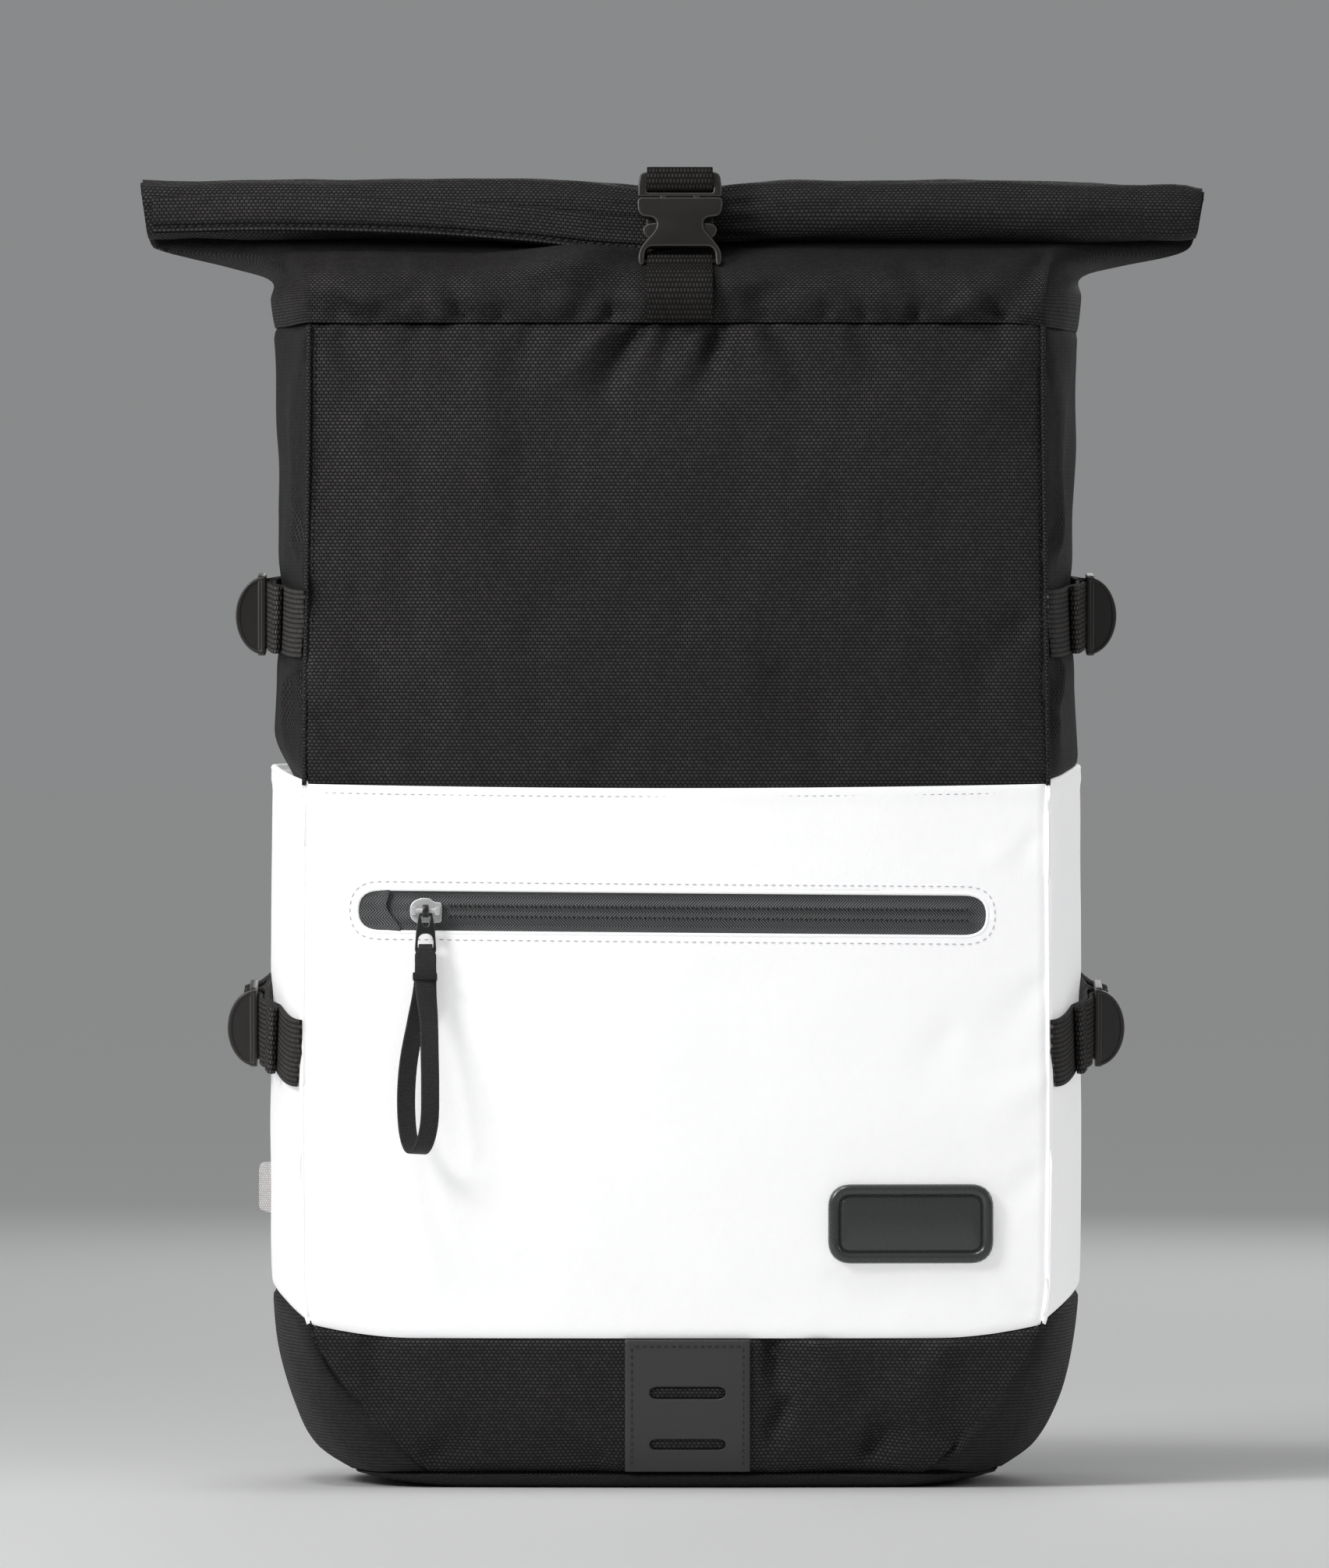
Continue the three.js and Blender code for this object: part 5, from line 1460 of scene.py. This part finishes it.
def buildSideGear(sideName, side, strap):
    name = strap["level"] + "_" + sideName
    spot, matrix = sideFrame(side, strap)
    start = [(0.1, 0.6), (2, 1.0), (5, 1.2), (10, 1.2)] + [(s, 1.2) for s in (18, 26, 34, 42, 50)]
    roundBar = [
        (62, 1.3), (64.4, 2), (65.2, 3.6), (65.2, 7.2), (63.8, 8.7), (61.5, 9),
        (59.4, 8.7), (58.2, 7.2), (57.9, 5.2), (56.6, 3.8), (54.5, 3.15),
    ]
    back = [(s, 3.05) for s in (50, 42, 34, 28.4)] + [(27.4, 3.85), (28.4, 4.7), (33.6, 4.7)]
    band = sideBand("side_webbing_" + name, spot, start + roundBar + back)
    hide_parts("side_strap_" + name)
    lying = [(119, 1.3), (112, 1.2), (104, 1.2), (96, 1.2), (88, 1.2), (80, 1.3)]
    roundBar = [(74, 1.9), (71, 2.9), (68.6, 3.3), (67.6, 4.6), (67.6, 6.6), (68.4, 8.2), (70.6, 9)]
    back = [(73, 8.6), (77, 6.3), (82, 3.8), (88, 3.05), (98, 3.05)]
    band = sideBand("side_anchor_webbing_" + name, spot, lying + roundBar + back)
    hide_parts("side_anchor_" + name)
    bm = bmesh.new()
    slots = [roundBox(3, 13, 1, s) for s in (-4.5, 4.5)]
    addSlab(bm, [roundBox(10.5, 15, 3)] + slots, 4.5, 7.5, 0.7, 3)
    arc = [math.pi * (i / 28 - 0.5) for i in range(29)]  # the half-round flap
    outer = [(11 * math.cos(a), 14.6 * math.sin(a), 0) for a in arc]
    inner = [(1.6 + 7.8 * math.cos(a), 12.9 * math.sin(a), 0) for a in arc]
    flap = addSlab(bm, [outer, inner], -1.1, 1.1, 0.45, 3)
    flap += addSlab(bm, [inner], -0.45, 0.45, 0)
    upright = Matrix.Translation((-9.6, 4.6, 0)) @ Matrix.Rotation(math.pi / 2, 4, "Z")
    bmesh.ops.transform(bm, matrix=upright, verts=flap)
    bmesh.ops.recalc_face_normals(bm, faces=bm.faces)
    ladder = placed("side_ladder_" + name, bm, matrix)
    dress(ladder, "plastic", replaces=["side_adjuster_" + name])


# Carrying gear on the back
strapRows = [  # x, y, z, width, thickness
    (46, 60, 410, 50, 6), (46.5, 67, 409, 52, 7), (48, 75, 402, 56, 9), (51, 82, 386, 60, 10),
    (56, 86, 355, 62, 10), (62, 87.5, 315, 62, 10), (69, 87, 270, 60, 10), (77, 84.5, 225, 56, 10),
    (85, 80, 182, 50, 9), (91, 75.5, 148, 42, 7), (92.4, 74.4, 140, 30, 5),
]
padAir = {"voxel": 4, "pressure": 4, "frames": 20, "cap": 2.2, "start": 0.86}


def strapFrames(side):
    spots = [Vector((side * x, y, z)) for x, y, z, wide, thick in strapRows]
    frames = []
    for i, row in enumerate(strapRows):
        run = (spots[min(i + 1, len(spots) - 1)] - spots[max(i - 1, 0)]).normalized()
        across = (Vector((1, 0, 0)) - run * run.x).normalized()
        frames.append((spots[i], across, run.cross(across), row[3], row[4]))
    return frames


def strapSpot(frames, along, a, b):  # a across the strap and b through it, each from -0.5 to 0.5
    i = min(int(along), len(frames) - 2)
    share = along - i
    low, high = frames[i], frames[i + 1]
    spot, across, face = (low[k].lerp(high[k], share) for k in range(3))
    wide, thick = (mix(low[k], high[k], share) for k in (3, 4))
    return spot + across * a * wide + face * b * thick


def plump(piece):  # air inside a sewn cover, held to a small swell
    remesh = piece.modifiers.new("remesh", "REMESH")
    remesh.mode = "VOXEL"
    remesh.voxel_size = padAir["voxel"] * mm
    bake(piece)
    before = [vert.co.copy() for vert in piece.data.vertices]
    air = piece.modifiers.new("air", "CLOTH")
    air.settings.use_pressure = True
    air.settings.uniform_pressure_force = padAir["pressure"]
    air.settings.effector_weights.gravity = 0
    for i in range(1, padAir["frames"] + 1):
        bpy.context.scene.frame_set(i)
    bake(piece)
    bpy.context.scene.frame_set(1)
    for vert, old in zip(piece.data.vertices, before):
        gone = vert.co - old
        if gone.length > padAir["cap"] * mm:
            vert.co = old + gone.normalized() * padAir["cap"] * mm


def buildShoulderStrap(sideName, side):
    frames = strapFrames(side)
    last = len(strapRows) - 1

    def place(u, v):
        angle = 2 * math.pi * u
        a = math.copysign(abs(math.cos(angle)) ** 0.35, math.cos(angle)) * 0.5
        b = math.copysign(abs(math.sin(angle)) ** 0.6, math.sin(angle)) * 0.5
        return strapSpot(frames, v * last, a * padAir["start"], b * padAir["start"]), (u, v)

    piece = clothSheet("shoulder_pad_" + sideName, place, 48, 90, 0, close=True, capped=True)
    plump(piece)
    fine = piece.modifiers.new("fine", "SUBSURF")
    fine.levels = fine.render_levels = 1
    for face in piece.data.polygons:
        face.use_smooth = True
    dress(piece, "padCloth", replaces=["shoulder_strap_" + sideName])
    for edge, a in (("inner", -0.47), ("outer", 0.47)):
        path = [strapSpot(frames, i / 4, a, 0) for i in range(2, last * 4 - 1)]
        binding = tube(f"shoulder_binding_{edge}_{sideName}", path, 1.9, 3.0, 10, up=(0, 1, 0))
        dress(binding, "webbing")


def buildShoulderGear(sideName, side):
    across = Vector((0.95, 0, side * 0.31)).normalized()
    rising = [
        (120.6, 59.2, 42), (118.4, 59.6, 50), (113, 63, 68),
        (106, 66.4, 90), (99.8, 68.4, 110), (97, 69, 118),
    ]
    roundBar = [
        (96.2, 69.9, 122), (95.9, 72.8, 123.8), (96.1, 75.7, 122.4),
        (97, 76.8, 118), (101.7, 77.6, 99), (107.5, 78.2, 79),
    ]
    points = [(side * x, y, z) for x, y, z in rising + roundBar]
    band = webbingBand("shoulder_tail_" + sideName, points, across, sideGear["wide"], sideGear["thick"])
    dress(band, "webbing", replaces=["shoulder_webbing_" + sideName])
    bm = bmesh.new()
    slots = [roundBox(13, 2.6, 0.8, 0, -4.1), roundBox(13, 2, 0.8, 0, 4.2)]
    addSlab(bm, [roundBox(16, 9.75, 2.5)] + slots, -2, 2, 0.7, 3)
    lean = math.atan2(across.z, across.x)
    matrix = Matrix.Translation((side * 94.8, 72.8, 127.8)) @ Matrix.Rotation(-lean, 4, "Y")
    ladder = placed("shoulder_ladder_" + sideName, bm, matrix)
    dress(ladder, "plastic", replaces=["shoulder_adjuster_" + sideName])


haulLoop = {"z": 424, "off": 1.3, "lean": math.radians(50), "wide": 19, "thick": 2.4, "hollow": 1.2}


def archLine(half):  # from the right foot over the crown to the left foot
    right = [Vector((x, 0, z)) for x, z in half]
    return right + [Vector((-x, 0, z)) for x, z in reversed(half[:-1])]


def buildHaulLoop():
    outer = archLine([(43, 0), (42, 18), (37, 33), (22, 43), (0, 46)])
    inner = archLine([(24, 0), (24, 14), (20.5, 21.5), (12, 26), (0, 27)])
    big, length = smoothRoute(outer, 2.6)
    shorter = smoothRoute(inner, 1.2)[1]
    small = smoothRoute(inner, shorter / (len(big) - 1))[0]  # as many points as on the outer edge
    count = min(len(big), len(small)) - 1
    foot = Matrix.Translation((0, levelAt(haulLoop["z"])["backY"] + haulLoop["off"], haulLoop["z"]))
    matrix = foot @ Matrix.Rotation(-haulLoop["lean"], 4, "X")

    def place(u, v):
        i = round(v * count)
        spot = small[i].lerp(big[i], u)
        spot.y -= haulLoop["hollow"] * (1 - (2 * u - 1) ** 2)
        return matrix @ spot, (length * v, u * haulLoop["wide"])

    piece = clothSheet("haul_loop_webbing", place, 8, count, haulLoop["thick"], 0, 0.5)
    dress(piece, "sideWebbing", replaces=["haul_loop"])
    outward = matrix.to_3x3() @ Vector((0, 1, 0))
    tacks = []
    for side in (-1, 1):
        for up in (2, 4.5, 10):
            line = [matrix @ Vector((side * x, 0.4, up)) for x in (26, 30, 34, 38, 41)]
            tacks.append((line, outward))
    dress(stitchRow("haul_loop_stitches", tacks), "thread")


# Seams sewn in thread
def buildStitches():
    ring = evenRing(softLoop(zipOutline(2.6, 1.8), 8), 4)
    spots = [zipTurn() @ Vector((p.x, 0, p.y)) for p in ring + ring[:1]]
    lines = [(frontLine([(p.x, p.z) for p in spots], 0.05), forward)]
    hem = []
    for i in range(61):
        w = mix(-0.98, 0.98, i / 60)
        z = mouthAt(w * seamT) - paleFront["hemStitch"]
        hem.append((w * (levelAt(z)["seamX"] - 1), z))
    lines.append((frontLine(hem, 0.1), forward))
    dress(stitchRow("pale_stitches", lines, 2.0, 2.9, 0.26), "paleThread")
    lines = []
    for side in (-1, 1):
        top = []
        for i in range(50):
            z = mix(bagShape["mouth"] + 6, bagShape["top"] - 3, i / 49)
            x = side * (levelAt(z)["seamX"] - 2.2)
            top.append((x, z))
        lines.append((frontLine(top, 0.05), forward))
    dress(stitchRow("front_seam_stitches", lines, 2.1, 3.0, 0.2), "nylon")


groups, finishes = {}, {}
setStudio()
makeFinishes()
print("studio and finishes ready")
buildFrontPanel()
buildPaleFront()
buildBoot()
buildBase()
buildBack()
buildWelts()
for sideName, side in sides:
    buildGusset(sideName, side)
    buildPaleSide(sideName, side)
print("body panels made")
buildRoll()
buildLip()
print("neck and roll made")
buildClosure()
buildBuckle()
buildZip()
buildSlider()
buildPull()
buildPullLoop()
buildPatch()
buildBadge()
buildTag()
buildStitches()
print("closure, zip and trim made")
for sideName, side in sides:
    for strap in sideStraps:
        buildSideGear(sideName, side, strap)
    buildShoulderStrap(sideName, side)
    buildShoulderGear(sideName, side)
buildHaulLoop()
print("straps made")
